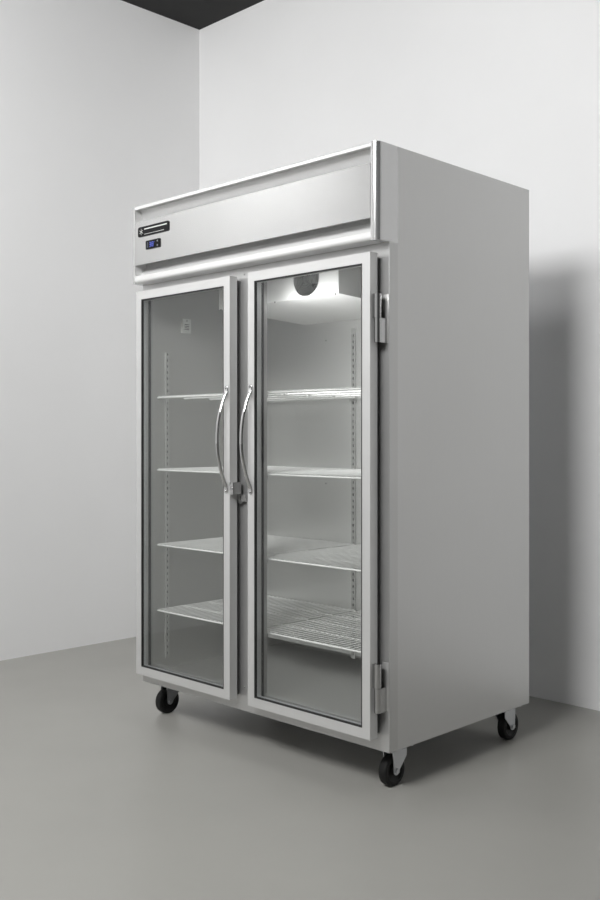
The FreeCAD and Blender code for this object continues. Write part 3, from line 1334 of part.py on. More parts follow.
outer_shell()
front_frame()
mullion()
insulation()
interior_liner()
duct_panel()
shelf_standards()
shelf_clips()
shelves()
header()
access_panel()
name_plate_and_display()
for door_side, door_sign in SIDES.items():
    door(door_side, door_sign)
cabinet_hinges()
lock()
lock_keeper()
evaporator()
fans_and_motors()
condensing_unit()
pipework()
rear_guard()
temperature_probe()
casters()
doc.recompute()

for item in doc.Objects:
    if "Invalid" in item.State or "Error" in item.State:
        raise RuntimeError(f"{item.Label} is in state {item.State}")
os.makedirs("parts", exist_ok=True)
for item in nodes:
    if item.Shape.isNull() or not item.Shape.isValid() or not item.Shape.Solids:
        raise RuntimeError(f"{item.Label} has no valid solid")
    item.Shape.exportStep(f"parts/{item.Label}.step")
print(len(nodes), "sub-parts written")
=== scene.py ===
"""Two-door glass merchandiser: materials, fittings, stage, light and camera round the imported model.

Everything is in metres in the model's own frame: +Z up, doors facing -Y, origin on the floor.
"""

import json
import math

import bmesh
import bpy
from mathutils import Matrix, Vector

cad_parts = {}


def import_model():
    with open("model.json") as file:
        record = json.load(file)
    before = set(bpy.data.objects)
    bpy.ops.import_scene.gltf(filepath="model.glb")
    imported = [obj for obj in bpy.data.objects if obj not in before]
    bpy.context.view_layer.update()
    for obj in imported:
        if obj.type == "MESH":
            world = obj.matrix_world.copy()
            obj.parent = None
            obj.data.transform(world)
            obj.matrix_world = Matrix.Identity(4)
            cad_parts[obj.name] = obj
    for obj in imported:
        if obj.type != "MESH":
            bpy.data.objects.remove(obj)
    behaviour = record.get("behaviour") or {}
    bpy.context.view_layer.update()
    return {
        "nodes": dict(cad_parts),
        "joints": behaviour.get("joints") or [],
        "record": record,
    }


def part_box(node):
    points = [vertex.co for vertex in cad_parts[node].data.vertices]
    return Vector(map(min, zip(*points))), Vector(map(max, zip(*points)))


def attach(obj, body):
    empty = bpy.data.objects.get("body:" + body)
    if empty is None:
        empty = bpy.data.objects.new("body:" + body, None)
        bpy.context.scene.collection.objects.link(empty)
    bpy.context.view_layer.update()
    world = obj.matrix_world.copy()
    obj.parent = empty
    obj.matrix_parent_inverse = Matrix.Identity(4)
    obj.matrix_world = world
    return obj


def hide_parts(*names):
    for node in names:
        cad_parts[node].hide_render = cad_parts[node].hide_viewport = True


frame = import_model()
NODES = frame["nodes"]
MM = 0.001
SIDES = {"left": -1, "right": 1}
ENDS = ("front", "rear")
UP, DOWN = (0, 0, 1), (0, 0, -1)
FORWARD, BACKWARD = (0, -1, 0), (0, 1, 0)

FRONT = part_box("front_frame")[0].y
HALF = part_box("side_panel_right")[1].x
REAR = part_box("back_panel")[1].y


# Materials ---------------------------------------------------------------------------------------

class Recipe:
    """A material under construction: nodes are added by kind, with inputs given as words."""

    def __init__(self, name):
        self.material = bpy.data.materials.new(name)
        self.material.use_nodes = True
        self.tree = self.material.node_tree
        self.tree.nodes.clear()
        self.output = self.tree.nodes.new("ShaderNodeOutputMaterial")

    def add(self, kind, inputs=None, **settings):
        node = self.tree.nodes.new("ShaderNode" + kind)
        for key, value in settings.items():
            setattr(node, key, value)
        for key, value in (inputs or {}).items():
            self.put(node.inputs[key], value)
        return node

    def put(self, socket, value):
        if isinstance(value, bpy.types.NodeSocket):
            self.tree.links.new(value, socket)
        else:
            socket.default_value = value

    def place(self, scale):
        """Object coordinates stretched by a scale along each axis."""
        where = self.add("TexCoord").outputs["Object"]
        return self.add("Mapping", {"Vector": where, "Scale": scale}).outputs["Vector"]

    def noise(self, scale, detail=3.0):
        """Noise whose cells are as long as 1 / scale along each axis."""
        return self.add("TexNoise", {
            "Vector": self.place(scale), "Scale": 1.0, "Detail": detail, "Roughness": 0.55,
        }).outputs["Fac"]

    def even_noise(self, scale, detail=3.0):
        """Noise with the same scale along every axis."""
        return self.noise((scale, scale, scale), detail)

    def spread(self, factor, low, high, start=0.3, end=0.7):
        """A value that goes from low to high as the factor goes from start to end."""
        return self.add("MapRange", {
            "Value": factor, "From Min": start, "From Max": end, "To Min": low, "To Max": high,
        }).outputs["Result"]

    def sum(self, first, second):
        """The sum of two values."""
        return self.add("Math", {0: first, 1: second}, operation="ADD").outputs[0]

    def blend(self, factor, first, second):
        """A colour between two colours."""
        mix = self.add("Mix", data_type="RGBA")
        self.put(mix.inputs["Factor"], factor)
        for slot, colour in ((6, first), (7, second)):
            self.put(mix.inputs[slot], colour if isinstance(colour, bpy.types.NodeSocket) else (*colour, 1.0))
        return mix.outputs[2]

    def bump(self, height, distance, strength):
        """A normal from a height, with the relief's depth in metres."""
        return self.add("Bump", {
            "Height": height, "Distance": distance, "Strength": strength,
        }).outputs["Normal"]

    def finish(self, **inputs):
        """Ends in one Principled shader; the words are its sockets with _ for a space."""
        shader = self.add("BsdfPrincipled", {key.replace("_", " "): value for key, value in inputs.items()})
        self.tree.links.new(shader.outputs["BSDF"], self.output.inputs["Surface"])
        return self.material


def brushed(name, grain, colour, roughness, metallic, contrast=0.012, streaks=0.012, anisotropy=0.0,
            relief=0.0):
    """Brushed steel with its grain along one axis: hairlines, broad streaks and faint smudges."""
    recipe = Recipe(name)
    axis = "XYZ".index(grain)
    fine, broad = [1100.0] * 3, [90.0] * 3
    fine[axis], broad[axis] = 9.0, 1.2
    hair = recipe.noise(fine, detail=2.0)
    streak = recipe.noise(broad, detail=2.0)
    smudge = recipe.even_noise(2.2, detail=4.0)
    dark = [channel * (1 - contrast) for channel in colour]
    light = [min(channel * (1 + contrast), 1.0) for channel in colour]
    tint = recipe.blend(recipe.spread(hair, 0.0, 1.0), dark, light)
    tint = recipe.blend(recipe.spread(streak, 0.0, 0.3), tint, light)
    dulled = recipe.spread(smudge, -0.03, 0.05)
    uneven = recipe.sum(recipe.spread(streak, -streaks, streaks), dulled)
    tangent = recipe.add("Tangent", direction_type="RADIAL", axis=grain).outputs[0]
    return recipe.finish(
        Base_Color=tint, Metallic=metallic, Roughness=recipe.sum(uneven, roughness), Anisotropic=anisotropy,
        Tangent=tangent, Normal=recipe.bump(hair, 0.04 * MM, relief),
    )


def polished(name, colour, roughness=0.12, marks=0.06):
    """Polished or plated metal with fine wiping marks and a duller film here and there."""
    recipe = Recipe(name)
    film = recipe.even_noise(14.0, detail=5.0)
    wipe = recipe.noise((700.0, 700.0, 60.0), detail=2.0)
    rough = recipe.spread(film, roughness, roughness + marks)
    tint = recipe.blend(recipe.spread(film, 0.0, 0.5), colour, [channel * 0.9 for channel in colour])
    return recipe.finish(
        Base_Color=tint, Metallic=1.0, Roughness=rough, Normal=recipe.bump(wipe, 0.03 * MM, 0.3),
    )


def galvanised(name, colour):
    """Galvanised sheet: a mosaic of dull and bright zinc crystals."""
    recipe = Recipe(name)
    cells = recipe.add("TexVoronoi", {"Vector": recipe.place((70.0, 70.0, 70.0)), "Scale": 1.0}, feature="F1")
    share = recipe.spread(cells.outputs["Color"], 0.0, 1.0, 0.0, 1.0)
    tint = recipe.blend(share, [channel * 0.82 for channel in colour], colour)
    return recipe.finish(
        Base_Color=tint, Metallic=0.9, Roughness=recipe.spread(share, 0.34, 0.5, 0.0, 1.0),
        Normal=recipe.bump(recipe.even_noise(160.0), 0.06 * MM, 0.4),
    )


def coated(name, colour, roughness, grain=900.0, depth=0.04 * MM, specular=0.5, coat=0.0):
    """Moulded plastic, rubber, enamel or powder coat: fine surface grain and slightly uneven colour."""
    recipe = Recipe(name)
    cloud = recipe.even_noise(9.0, detail=5.0)
    fine = recipe.even_noise(grain, detail=2.0)
    tint = recipe.blend(recipe.spread(cloud, 0.0, 1.0), colour, [channel * 0.88 for channel in colour])
    return recipe.finish(
        Base_Color=tint, Specular_IOR_Level=specular,
        Roughness=recipe.spread(cloud, roughness - 0.05, roughness + 0.06),
        Coat_Weight=coat, Coat_Roughness=0.08, Normal=recipe.bump(fine, depth, 0.5),
    )


def rubber_tread(name, colour):
    """Caster rubber, greyer with dust where it rolls."""
    recipe = Recipe(name)
    dust = recipe.even_noise(60.0, detail=6.0)
    tint = recipe.blend(recipe.spread(dust, 0.0, 0.5, 0.45, 0.75), colour, (0.03, 0.03, 0.028))
    return recipe.finish(
        Base_Color=tint, Specular_IOR_Level=0.3, Roughness=recipe.spread(dust, 0.42, 0.7),
        Normal=recipe.bump(recipe.even_noise(700.0), 0.08 * MM, 0.5),
    )


def tube_copper(name):
    """Drawn copper with darker tarnish."""
    recipe = Recipe(name)
    tarnish = recipe.even_noise(22.0, detail=6.0)
    tint = recipe.blend(recipe.spread(tarnish, 0.0, 0.8, 0.4, 0.7), (0.74, 0.4, 0.27), (0.33, 0.17, 0.11))
    return recipe.finish(Base_Color=tint, Metallic=1.0, Roughness=recipe.spread(tarnish, 0.22, 0.5))


def window_glass(name):
    """Clear glass, seen through as a faint green-grey tint and mirrored at its surface."""
    recipe = Recipe(name)
    smear = recipe.noise((5.0, 5.0, 3.0), detail=5.0)
    clear = recipe.add("BsdfTransparent", {"Color": (0.985, 0.988, 0.985, 1.0)}).outputs[0]
    mirror = recipe.add("BsdfGlossy", {
        "Color": (0.95, 0.96, 0.96, 1.0), "Roughness": recipe.spread(smear, 0.01, 0.05),
    }).outputs[0]
    facing = recipe.add("LayerWeight", {"Blend": 0.5}).outputs["Facing"]
    steep = recipe.add("Math", {0: facing, 1: 5.0}, operation="POWER").outputs[0]
    share = recipe.add("Math", {0: steep, 1: 0.9, 2: 0.02}, operation="MULTIPLY_ADD").outputs[0]
    mixed = recipe.add("MixShader", {"Fac": share, 1: clear, 2: mirror})
    recipe.tree.links.new(mixed.outputs[0], recipe.output.inputs["Surface"])
    return recipe.material


def glowing(name, colour, strength):
    """Lit display segments, a little uneven across their face."""
    recipe = Recipe(name)
    uneven = recipe.spread(recipe.even_noise(900.0), 0.85, 1.0)
    tint = recipe.blend(uneven, [channel * 0.6 for channel in colour], colour)
    return recipe.finish(
        Base_Color=(0.02, 0.02, 0.03, 1.0), Roughness=0.3, Emission_Color=tint, Emission_Strength=strength,
    )


LOOKS = {
    "steel_upright": brushed("steel_upright", "Z", (0.64, 0.64, 0.635), 0.34, 0.52),
    # Painted shade: the side panels get a darker, more metallic copy of the door steel, for their shaded
    # tone.
    "steel_side_painted_shade": brushed("steel_side_painted_shade", "Z", (0.59, 0.59, 0.585), 0.34, 0.72),
    # Painted shade: the front frame and the mullion get a darker, more metallic copy of the door steel, for
    # the shade at the sill, the jambs and between the doors.
    "steel_painted_shade": brushed("steel_painted_shade", "Z", (0.54, 0.54, 0.535), 0.34, 0.78),
    # Painted shade: the header panel's steel, grained across, is darker than the door steel to hold down the
    # lamp's highlight on it.
    "steel_across_painted_shade": brushed("steel_across_painted_shade", "X", (0.48, 0.48, 0.476), 0.24, 0.9, 0.008, 0.003),
    # Painted light: the header frame gets a paler, less metallic copy of the door steel, so its lips look
    # brightly lit.
    "steel_trim_painted_light": brushed("steel_trim_painted_light", "X", (0.74, 0.74, 0.735), 0.3, 0.35, 0.01, 0.006),
    "trim_bright": brushed("trim_bright", "Z", (0.6, 0.6, 0.6), 0.16, 0.8, 0.01, 0.01),
    "steel_polished": polished("steel_polished", (0.78, 0.78, 0.78), 0.14),
    "chrome": polished("chrome", (0.5, 0.5, 0.5)),
    "bright_chrome": polished("bright_chrome", (0.6, 0.6, 0.6), 0.05, 0.02),
    "zinc": polished("zinc", (0.6, 0.61, 0.63), 0.28, 0.14),
    "galvanised": galvanised("galvanised", (0.56, 0.57, 0.58)),
    "liner": brushed("liner", "Z", (0.78, 0.78, 0.77), 0.36, 0.75),
    # Painted shade: the liner's shell is a darker, more metallic copy of the liner steel, for the darker
    # floor and walls of the storage space.
    "liner_shell_painted_shade": brushed("liner_shell_painted_shade", "Z", (0.52, 0.52, 0.51), 0.33, 0.82),
    # Partly painted light: the evaporator housing is paler and less metallic than the liner, which brightens
    # its lit front; its grain across is its own.
    "housing": brushed("housing", "X", (0.86, 0.86, 0.85), 0.36, 0.45, 0.01, 0.01),
    "hardware": brushed("hardware", "Z", (0.55, 0.55, 0.54), 0.34, 0.6, 0.06, 0.03, 0.2, 0.35),
    "shelf_coating": coated("shelf_coating", (0.9, 0.9, 0.89), 0.3, coat=0.3),
    "fins": brushed("fins", "Z", (0.6, 0.61, 0.62), 0.4, 0.8, 0.12, 0.03, 0.2, 0.35),
    "fan_metal": polished("fan_metal", (0.55, 0.56, 0.58), 0.3, 0.12),
    "motor_black": coated("motor_black", (0.02, 0.02, 0.022), 0.36, 300.0, 0.1 * MM, coat=0.4),
    "copper": tube_copper("copper"),
    "glass": window_glass("glass"),
    "seal_rubber": coated("seal_rubber", (0.018, 0.018, 0.018), 0.55, 1200.0),
    "gasket_rubber": coated("gasket_rubber", (0.1, 0.1, 0.102), 0.6, 1200.0),
    "black_gloss": coated("black_gloss", (0.006, 0.006, 0.007), 0.3, 1500.0, 0.01 * MM, specular=0.12),
    "key_plastic": coated("key_plastic", (0.1, 0.1, 0.11), 0.4),
    "probe_plastic": coated("probe_plastic", (0.72, 0.73, 0.71), 0.45),
    "inlet_plastic": coated("inlet_plastic", (0.03, 0.03, 0.03), 0.5),
    "foam": coated("foam", (0.78, 0.66, 0.38), 0.85, 400.0, 0.4 * MM),
    "wheel_rubber": rubber_tread("wheel_rubber", (0.005, 0.005, 0.005)),
    "digits": glowing("digits", (0.1, 0.16, 0.9), 1.2),
    "lamp": glowing("lamp", (0.7, 0.8, 1.0), 0.9),
}

SLOT_LOOKS = {
    "brushed_steel": "steel_upright", "galvanised_steel": "galvanised", "polished_steel": "steel_polished",
    "foam": "foam", "liner_metal": "liner", "shelf_hardware": "hardware", "shelf_wire": "shelf_coating",
    "coil_aluminium": "fins", "motor_black": "motor_black", "copper": "copper",
    "fan_aluminium": "fan_metal", "chrome": "chrome", "glass": "glass", "black_rubber": "seal_rubber",
    "gasket_rubber": "gasket_rubber", "black_gloss": "black_gloss", "key_plastic": "key_plastic",
    "probe_plastic": "probe_plastic", "inlet_plastic": "inlet_plastic", "zinc": "zinc",
    "wheel_rubber": "wheel_rubber",
}
# Several node looks are darker and paler copies of the one stainless steel: painted shade and painted light.
NODE_LOOKS = {
    "header_frame": "steel_trim_painted_light", "header_panel": "steel_across_painted_shade", "evaporator_cover": "housing",
    "interior_liner": "liner_shell_painted_shade", "front_frame": "steel_painted_shade", "mullion": "steel_painted_shade",
    "header_corner_trims": "trim_bright", "side_panel_left": "steel_side_painted_shade", "side_panel_right": "steel_side_painted_shade",
}


def paint(item, look):
    """Puts one look in every material slot of an object."""
    item.data.materials.clear()
    item.data.materials.append(LOOKS[look])


def paint_frame():
    """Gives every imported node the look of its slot."""
    for part in frame["record"]["subparts"]:
        name = part["node"]
        paint(NODES[name], NODE_LOOKS.get(name, SLOT_LOOKS[part["material_slot"]]))


# Mesh helpers ------------------------------------------------------------------------------------

def piece(name, mesh, body, look, smooth=None):
    """Turns a bmesh into a named piece on a body; smooth is the angle in degrees that stays smooth."""
    bmesh.ops.recalc_face_normals(mesh, faces=mesh.faces)
    data = bpy.data.meshes.new(name)
    mesh.to_mesh(data)
    mesh.free()
    if smooth is not None:
        data.shade_smooth()
        data.set_sharp_from_angle(angle=math.radians(smooth))
    item = bpy.data.objects.new(name, data)
    bpy.context.scene.collection.objects.link(item)
    data.materials.append(LOOKS[look])
    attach(item, body)
    return item


def add_box(mesh, low, high, round_by=0.0, steps=2):
    """Adds a box between two corners, with its edges rounded."""
    low, high = Vector(low), Vector(high)
    made = bmesh.ops.create_cube(mesh, size=1.0)["verts"]
    bmesh.ops.scale(mesh, vec=high - low, verts=made)
    bmesh.ops.translate(mesh, vec=(low + high) / 2, verts=made)
    if round_by:
        edges = list({edge for vertex in made for edge in vertex.link_edges})
        bmesh.ops.bevel(mesh, geom=edges, offset=round_by, segments=steps, profile=0.5, affect="EDGES")


def turn_to(axis):
    """Rotation that takes +Z to an axis."""
    return Vector(UP).rotation_difference(Vector(axis)).to_matrix()


def circle(centre, radius, axis, steps=48, along=0.0):
    """Points round a circle about an axis, some way along it from the centre."""
    turn = turn_to(axis)
    angles = [2 * math.pi * step / steps for step in range(steps)]
    return [
        Vector(centre) + turn @ Vector((radius * math.cos(angle), radius * math.sin(angle), along))
        for angle in angles
    ]


def add_turned(mesh, outline, start, axis, steps=48):
    """Adds a turned shape: outline holds (distance along the axis, radius) pairs from end to end."""
    rings = []
    for along, radius in outline:
        points = circle(start, radius, axis, steps if radius else 1, along)
        rings.append([mesh.verts.new(point) for point in points])
    join_rings(mesh, rings)


def join_rings(mesh, rings, closed=False):
    """Skins rings of points; a ring of one point closes the end."""
    pairs = list(zip(rings, rings[1:]))
    if closed:
        pairs.append((rings[-1], rings[0]))
    for first, second in pairs:
        count = max(len(first), len(second))
        for step in range(count):
            ahead = (step + 1) % count
            if len(first) == 1:
                mesh.faces.new((first[0], second[step], second[ahead]))
            elif len(second) == 1:
                mesh.faces.new((first[step], second[0], first[ahead]))
            else:
                mesh.faces.new((first[step], second[step], second[ahead], first[ahead]))
    if not closed:
        for ring in (rings[0], rings[-1]):
            if len(ring) > 2:
                mesh.faces.new(ring)


def add_wire(mesh, points, radius, sides=10, closed=False):
    """Adds a round wire along points."""
    points = [Vector(point) for point in points]
    rings = []
    count = len(points)
    for index, point in enumerate(points):
        before = points[index - 1] if index or closed else point
        after = points[(index + 1) % count] if index < count - 1 or closed else point
        along = (after - before).normalized()
        across = across - along * across.dot(along) if rings else along.orthogonal()
        across = across.normalized()
        other = along.cross(across)
        rings.append([
            mesh.verts.new(point + radius * (
                across * math.cos(2 * math.pi * side / sides) + other * math.sin(2 * math.pi * side / sides)
            ))
            for side in range(sides)
        ])
    join_rings(mesh, rings, closed)


def add_prism(mesh, corners, start, axis, length, turned=0.0):
    """Adds a prism of a 2-D outline, pushed along an axis."""
    turn = turn_to(axis) @ Matrix.Rotation(turned, 3, "Z")
    rings = [
        [mesh.verts.new(Vector(start) + turn @ Vector((x, y, along))) for x, y in corners]
        for along in (0.0, length)
    ]
    join_rings(mesh, rings)


def add_screw(mesh, spot, axis, radius):
    """Adds a pan head screw with a cross recess; its seat is at the spot and its head along the axis."""
    steps = 24
    height = radius * 0.55
    turn = turn_to(axis)
    profile = ((1.0, 0.0), (1.0, 0.35), (0.88, 0.75), (0.68, 1.0))
    rings = [
        [mesh.verts.new(point) for point in circle(spot, radius * size, axis, steps, height * along)]
        for size, along in profile
    ]
    for first, second in zip(rings, rings[1:]):
        for step in range(steps):
            ahead = (step + 1) % steps
            mesh.faces.new((first[step], first[ahead], second[ahead], second[step]))
    mesh.faces.new(list(reversed(rings[0])))
    arm, half = radius * 0.5, radius * 0.12
    cross = [
        (arm, -half), (arm, half), (half, half), (half, arm), (-half, arm), (-half, half), (-arm, half),
        (-arm, -half), (-half, -half), (-half, -arm), (half, -arm), (half, -half),
    ]
    rims = [
        [mesh.verts.new(Vector(spot) + turn @ Vector((x, y, along))) for x, y in cross]
        for along in (height, height * 0.25)
    ]
    count = len(cross)
    for step in range(count):
        ahead = (step + 1) % count
        mesh.faces.new((rims[0][step], rims[0][ahead], rims[1][ahead], rims[1][step]))
    mesh.faces.new(rims[1])
    edges = [mesh.edges.get((rings[-1][step], rings[-1][(step + 1) % steps])) for step in range(steps)]
    edges += [mesh.edges.get((rims[0][step], rims[0][(step + 1) % count])) for step in range(count)]
    bmesh.ops.triangle_fill(mesh, edges=edges, use_beauty=True)


def screws(name, body, spots, axis, radius=4 * MM, look="chrome"):
    """A set of like screws as one piece."""
    mesh = bmesh.new()
    for spot in spots:
        add_screw(mesh, spot, axis, radius)
    return piece(name, mesh, body, look, smooth=35)


def add_hex(mesh, spot, axis, across_flats, height, turned=0.0):
    """Adds a hexagonal nut or bolt head."""
    reach = across_flats / 2 / math.cos(math.pi / 6)
    corners = [
        (reach * math.cos(math.pi * step / 3), reach * math.sin(math.pi * step / 3)) for step in range(6)
    ]
    add_prism(mesh, corners, spot, axis, height, turned)


def add_bolt(mesh, spot, axis, washer_radius, washer_thick, head_height):
    """Adds an M8 bolt head on its washer, which lies at the spot."""
    add_turned(mesh, [(0, washer_radius), (washer_thick, washer_radius), (washer_thick, 0)], spot, axis, 24)
    add_hex(mesh, Vector(spot) + Vector(axis) * washer_thick, axis, 13 * MM, head_height)


def middle_of(name):
    """Middle of a node's box."""
    low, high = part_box(name)
    return (low + high) / 2


# Doors -------------------------------------------------------------------------------------------

def smooth_step(value, start, end):
    """0 before start, 1 after end, and smooth between."""
    share = min(max((value - start) / (end - start), 0.0), 1.0)
    return share * share * (3 - 2 * share)


def bow_handle(side):
    """Flat-oval bow handle that thins into two flat feet, each with a screw.

    Its bars' cross-section is an oval of a given power: 2.2 along the bow and 6 at the feet.
    """
    low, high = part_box(f"{side}_handle")
    x, z = (low.x + high.x) / 2, (low.z + high.z) / 2
    foot_half = (high.x - low.x) / 2
    half_length = (high.z - low.z) / 2
    screw_reach = half_length - foot_half
    foot_length, taper, fillet = 11 * MM, 22 * MM, 5 * MM
    chord = screw_reach - foot_length
    bar_half, bar_thick, foot_thick = 7.5 * MM, 6 * MM, 2.5 * MM
    bow_power, foot_power = 2.2, 6.0
    rise = high.y - low.y - bar_thick
    radius = (chord ** 2 + rise ** 2) / (2 * rise)
    steps, around = 110, 28
    mesh = bmesh.new()
    spine = []
    for step in range(steps + 1):
        along = -half_length * math.cos(math.pi * step / steps)
        arc = math.sqrt(max(radius ** 2 - along ** 2, 0.0)) - (radius - rise)
        flat = smooth_step(abs(along), chord - taper, chord)
        thick = bar_thick + (foot_thick - bar_thick) * flat
        lift = (arc + foot_thick + math.hypot(arc - foot_thick, fillet)) / 2
        lift = foot_thick if abs(along) > screw_reach else lift
        width = bar_half + (foot_half - bar_half) * flat
        if abs(along) > screw_reach:
            width = math.sqrt(max(foot_half ** 2 - (abs(along) - screw_reach) ** 2, 0.0))
        spine.append((along, lift, width, thick, bow_power + (foot_power - bow_power) * flat))
    rings = []
    for index, (along, lift, width, thick, power) in enumerate(spine):
        before, after = spine[max(index - 1, 0)], spine[min(index + 1, steps)]
        slope = math.atan2(after[1] - before[1], after[0] - before[0])
        if width < 0.01 * MM:
            rings.append([mesh.verts.new((x, high.y - lift, z + along))])
            continue
        ring = []
        for turn in range(around):
            angle = 2 * math.pi * turn / around
            cosine, sine = math.cos(angle), math.sin(angle)
            across = width * math.copysign(abs(cosine) ** (2 / power), cosine)
            out = thick * math.copysign(abs(sine) ** (2 / power), sine)
            ring.append(mesh.verts.new((
                x + across, high.y - lift - out * math.cos(slope), z + along - out * math.sin(slope),
            )))
        rings.append(ring)
    join_rings(mesh, rings)
    handle = piece(f"{side}_bow_handle", mesh, f"{side}_door", "bright_chrome", smooth=50)
    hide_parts(f"{side}_handle")
    spots = [(x, high.y - 2 * foot_thick, z + end * screw_reach) for end in (-1, 1)]
    heads = screws(f"{side}_handle_screw_heads", f"{side}_door", spots, FORWARD, 5 * MM)
    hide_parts(f"{side}_handle_screws")


def add_mitred_ring(mesh, low, high, outline):
    """Adds a closed moulding round a rectangle: outline holds (distance inwards, place in Y) pairs."""
    corners = ((low.x, low.z, 1, 1), (high.x, low.z, -1, 1), (high.x, high.z, -1, -1), (low.x, high.z, 1, -1))
    rings = [
        [mesh.verts.new((x + right * inward, depth, z + up * inward)) for inward, depth in outline]
        for x, z, right, up in corners
    ]
    join_rings(mesh, rings, closed=True)


def door_gasket(side):
    """Bellows gasket with a magnet tube that meets the cabinet."""
    low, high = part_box(f"{side}_door_gasket")
    width, back, face = 16 * MM, low.y, high.y
    deep = face - back
    outline = [(3 * MM, back)]
    for fold in range(3):
        outline.append((0.6 * MM, back + deep * (0.12 + 0.2 * fold)))
        outline.append((3.4 * MM, back + deep * (0.22 + 0.2 * fold)))
    outline += [(0.0, face - 5.5 * MM), (0.0, face - 1.2 * MM), (1.2 * MM, face)]
    mirrored = [(width - inward, depth) for inward, depth in reversed(outline)]
    mesh = bmesh.new()
    add_mitred_ring(mesh, low, high, outline + mirrored)
    gasket = piece(f"{side}_bellows_gasket", mesh, f"{side}_door", "gasket_rubber",
                   smooth=25)
    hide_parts(f"{side}_door_gasket")


def hinge_plates(side, sign):
    """Thin mounting plates of the hinges, on the cabinet and on the door's edge."""
    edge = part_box(f"{side}_door_frame")[1 if sign > 0 else 0].x
    outer = sign * HALF
    low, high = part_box(f"{side}_door_hinges")
    half, sheet, margin, corner = 78 * MM, 1.6 * MM, 3.5 * MM, 0.6 * MM
    cabinet_plates, door_plates = bmesh.new(), bmesh.new()
    for top in (high.z, low.z + half):
        start, end = sorted((edge + sign * margin, outer - sign * margin))
        add_box(cabinet_plates, (start, FRONT - sheet, top - 2 * half), (end, FRONT, top), corner)
        start, end = sorted((edge, edge + sign * sheet))
        add_box(door_plates, (start, low.y + 2 * MM, top - half + 1 * MM), (end, high.y - 1 * MM, top),
                corner)
    piece(f"{side}_hinge_cabinet_plates", cabinet_plates, "cabinet", "hardware", smooth=35)
    piece(f"{side}_hinge_door_plates", door_plates, f"{side}_door", "hardware", smooth=35)


def lock_details():
    """Key cylinder on the lock case with a black box for its keyway, painted shade, and the ring on the
    tongue.
    """
    low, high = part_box("lock_case")
    x = (low.x + high.x) / 2
    face = low.y
    z = high.z - 22 * MM
    mesh = bmesh.new()
    add_turned(mesh, [(0, 7.2 * MM), (0.8 * MM, 7.2 * MM), (1.4 * MM, 6.6 * MM), (1.4 * MM, 5.4 * MM),
                      (0.8 * MM, 5.2 * MM), (0.8 * MM, 0)], (x, face, z), FORWARD, 40)
    piece("lock_cylinder", mesh, "left_door", "chrome", smooth=40)
    # Painted shade: a black box stands for the dark opening of the keyway.
    mesh = bmesh.new()
    slot = Vector((0.9 * MM, 0.2 * MM, 3.4 * MM))
    middle = Vector((x, face - 0.9 * MM, z))
    add_box(mesh, middle - slot, middle + slot)
    piece("lock_keyway_painted_shade", mesh, "left_door", "seal_rubber")
    low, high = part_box("lock_tongue")
    centre = ((low.x + high.x) / 2, low.y, low.z + (high.x - low.x) / 2)
    mesh = bmesh.new()
    ring = [(0, 7 * MM), (0.3 * MM, 7 * MM), (0.35 * MM, 4 * MM), (0.1 * MM, 3.6 * MM), (0.1 * MM, 0)]
    add_turned(mesh, ring, centre, FORWARD, 32)
    piece("lock_tongue_ring", mesh, "lock_tongue", "chrome", smooth=40)


def glazing_spacer(side):
    """Bright spacer bars between the panes, just inside the black bead."""
    low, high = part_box(f"{side}_glazing_seal")
    inset = Vector((12.4 * MM, 0, 12.4 * MM))
    pane = 5 * MM
    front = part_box(f"{side}_door_glass")[0].y + pane
    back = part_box(f"{side}_door_glass")[1].y - pane
    mesh = bmesh.new()
    inner_low = low + inset
    inner_high = high - inset
    add_mitred_ring(mesh, inner_low, inner_high, [(0, front), (0, back), (0.8 * MM, back), (0.8 * MM, front)])
    piece(f"{side}_glazing_spacer", mesh, f"{side}_door", "fins")


# Header ------------------------------------------------------------------------------------------

SEGMENTS = {
    "a": (0, 1, True), "b": (0.5, 0.5, False), "c": (0.5, -0.5, False), "d": (0, -1, True),
    "e": (-0.5, -0.5, False), "f": (-0.5, 0.5, False), "g": (0, 0, True),
}
FIGURES = {"3": "abcdg", "8": "abcdefg"}


def add_digit(mesh, figure, x, y, z, width, height):
    """Adds a seven-segment figure as thin raised bars."""
    bar = width * 0.2
    for name in FIGURES[figure]:
        across, up, flat = SEGMENTS[name]
        centre_x, centre_z = x + across * width, z + up * height / 2
        long_half = (width / 2 - bar * 0.35) if flat else (height / 4 - bar * 0.3)
        half = (long_half, bar / 2) if flat else (bar / 2, long_half)
        add_box(mesh, (centre_x - half[0], y - 0.25 * MM, centre_z - half[1]),
                (centre_x + half[0], y, centre_z + half[1]))


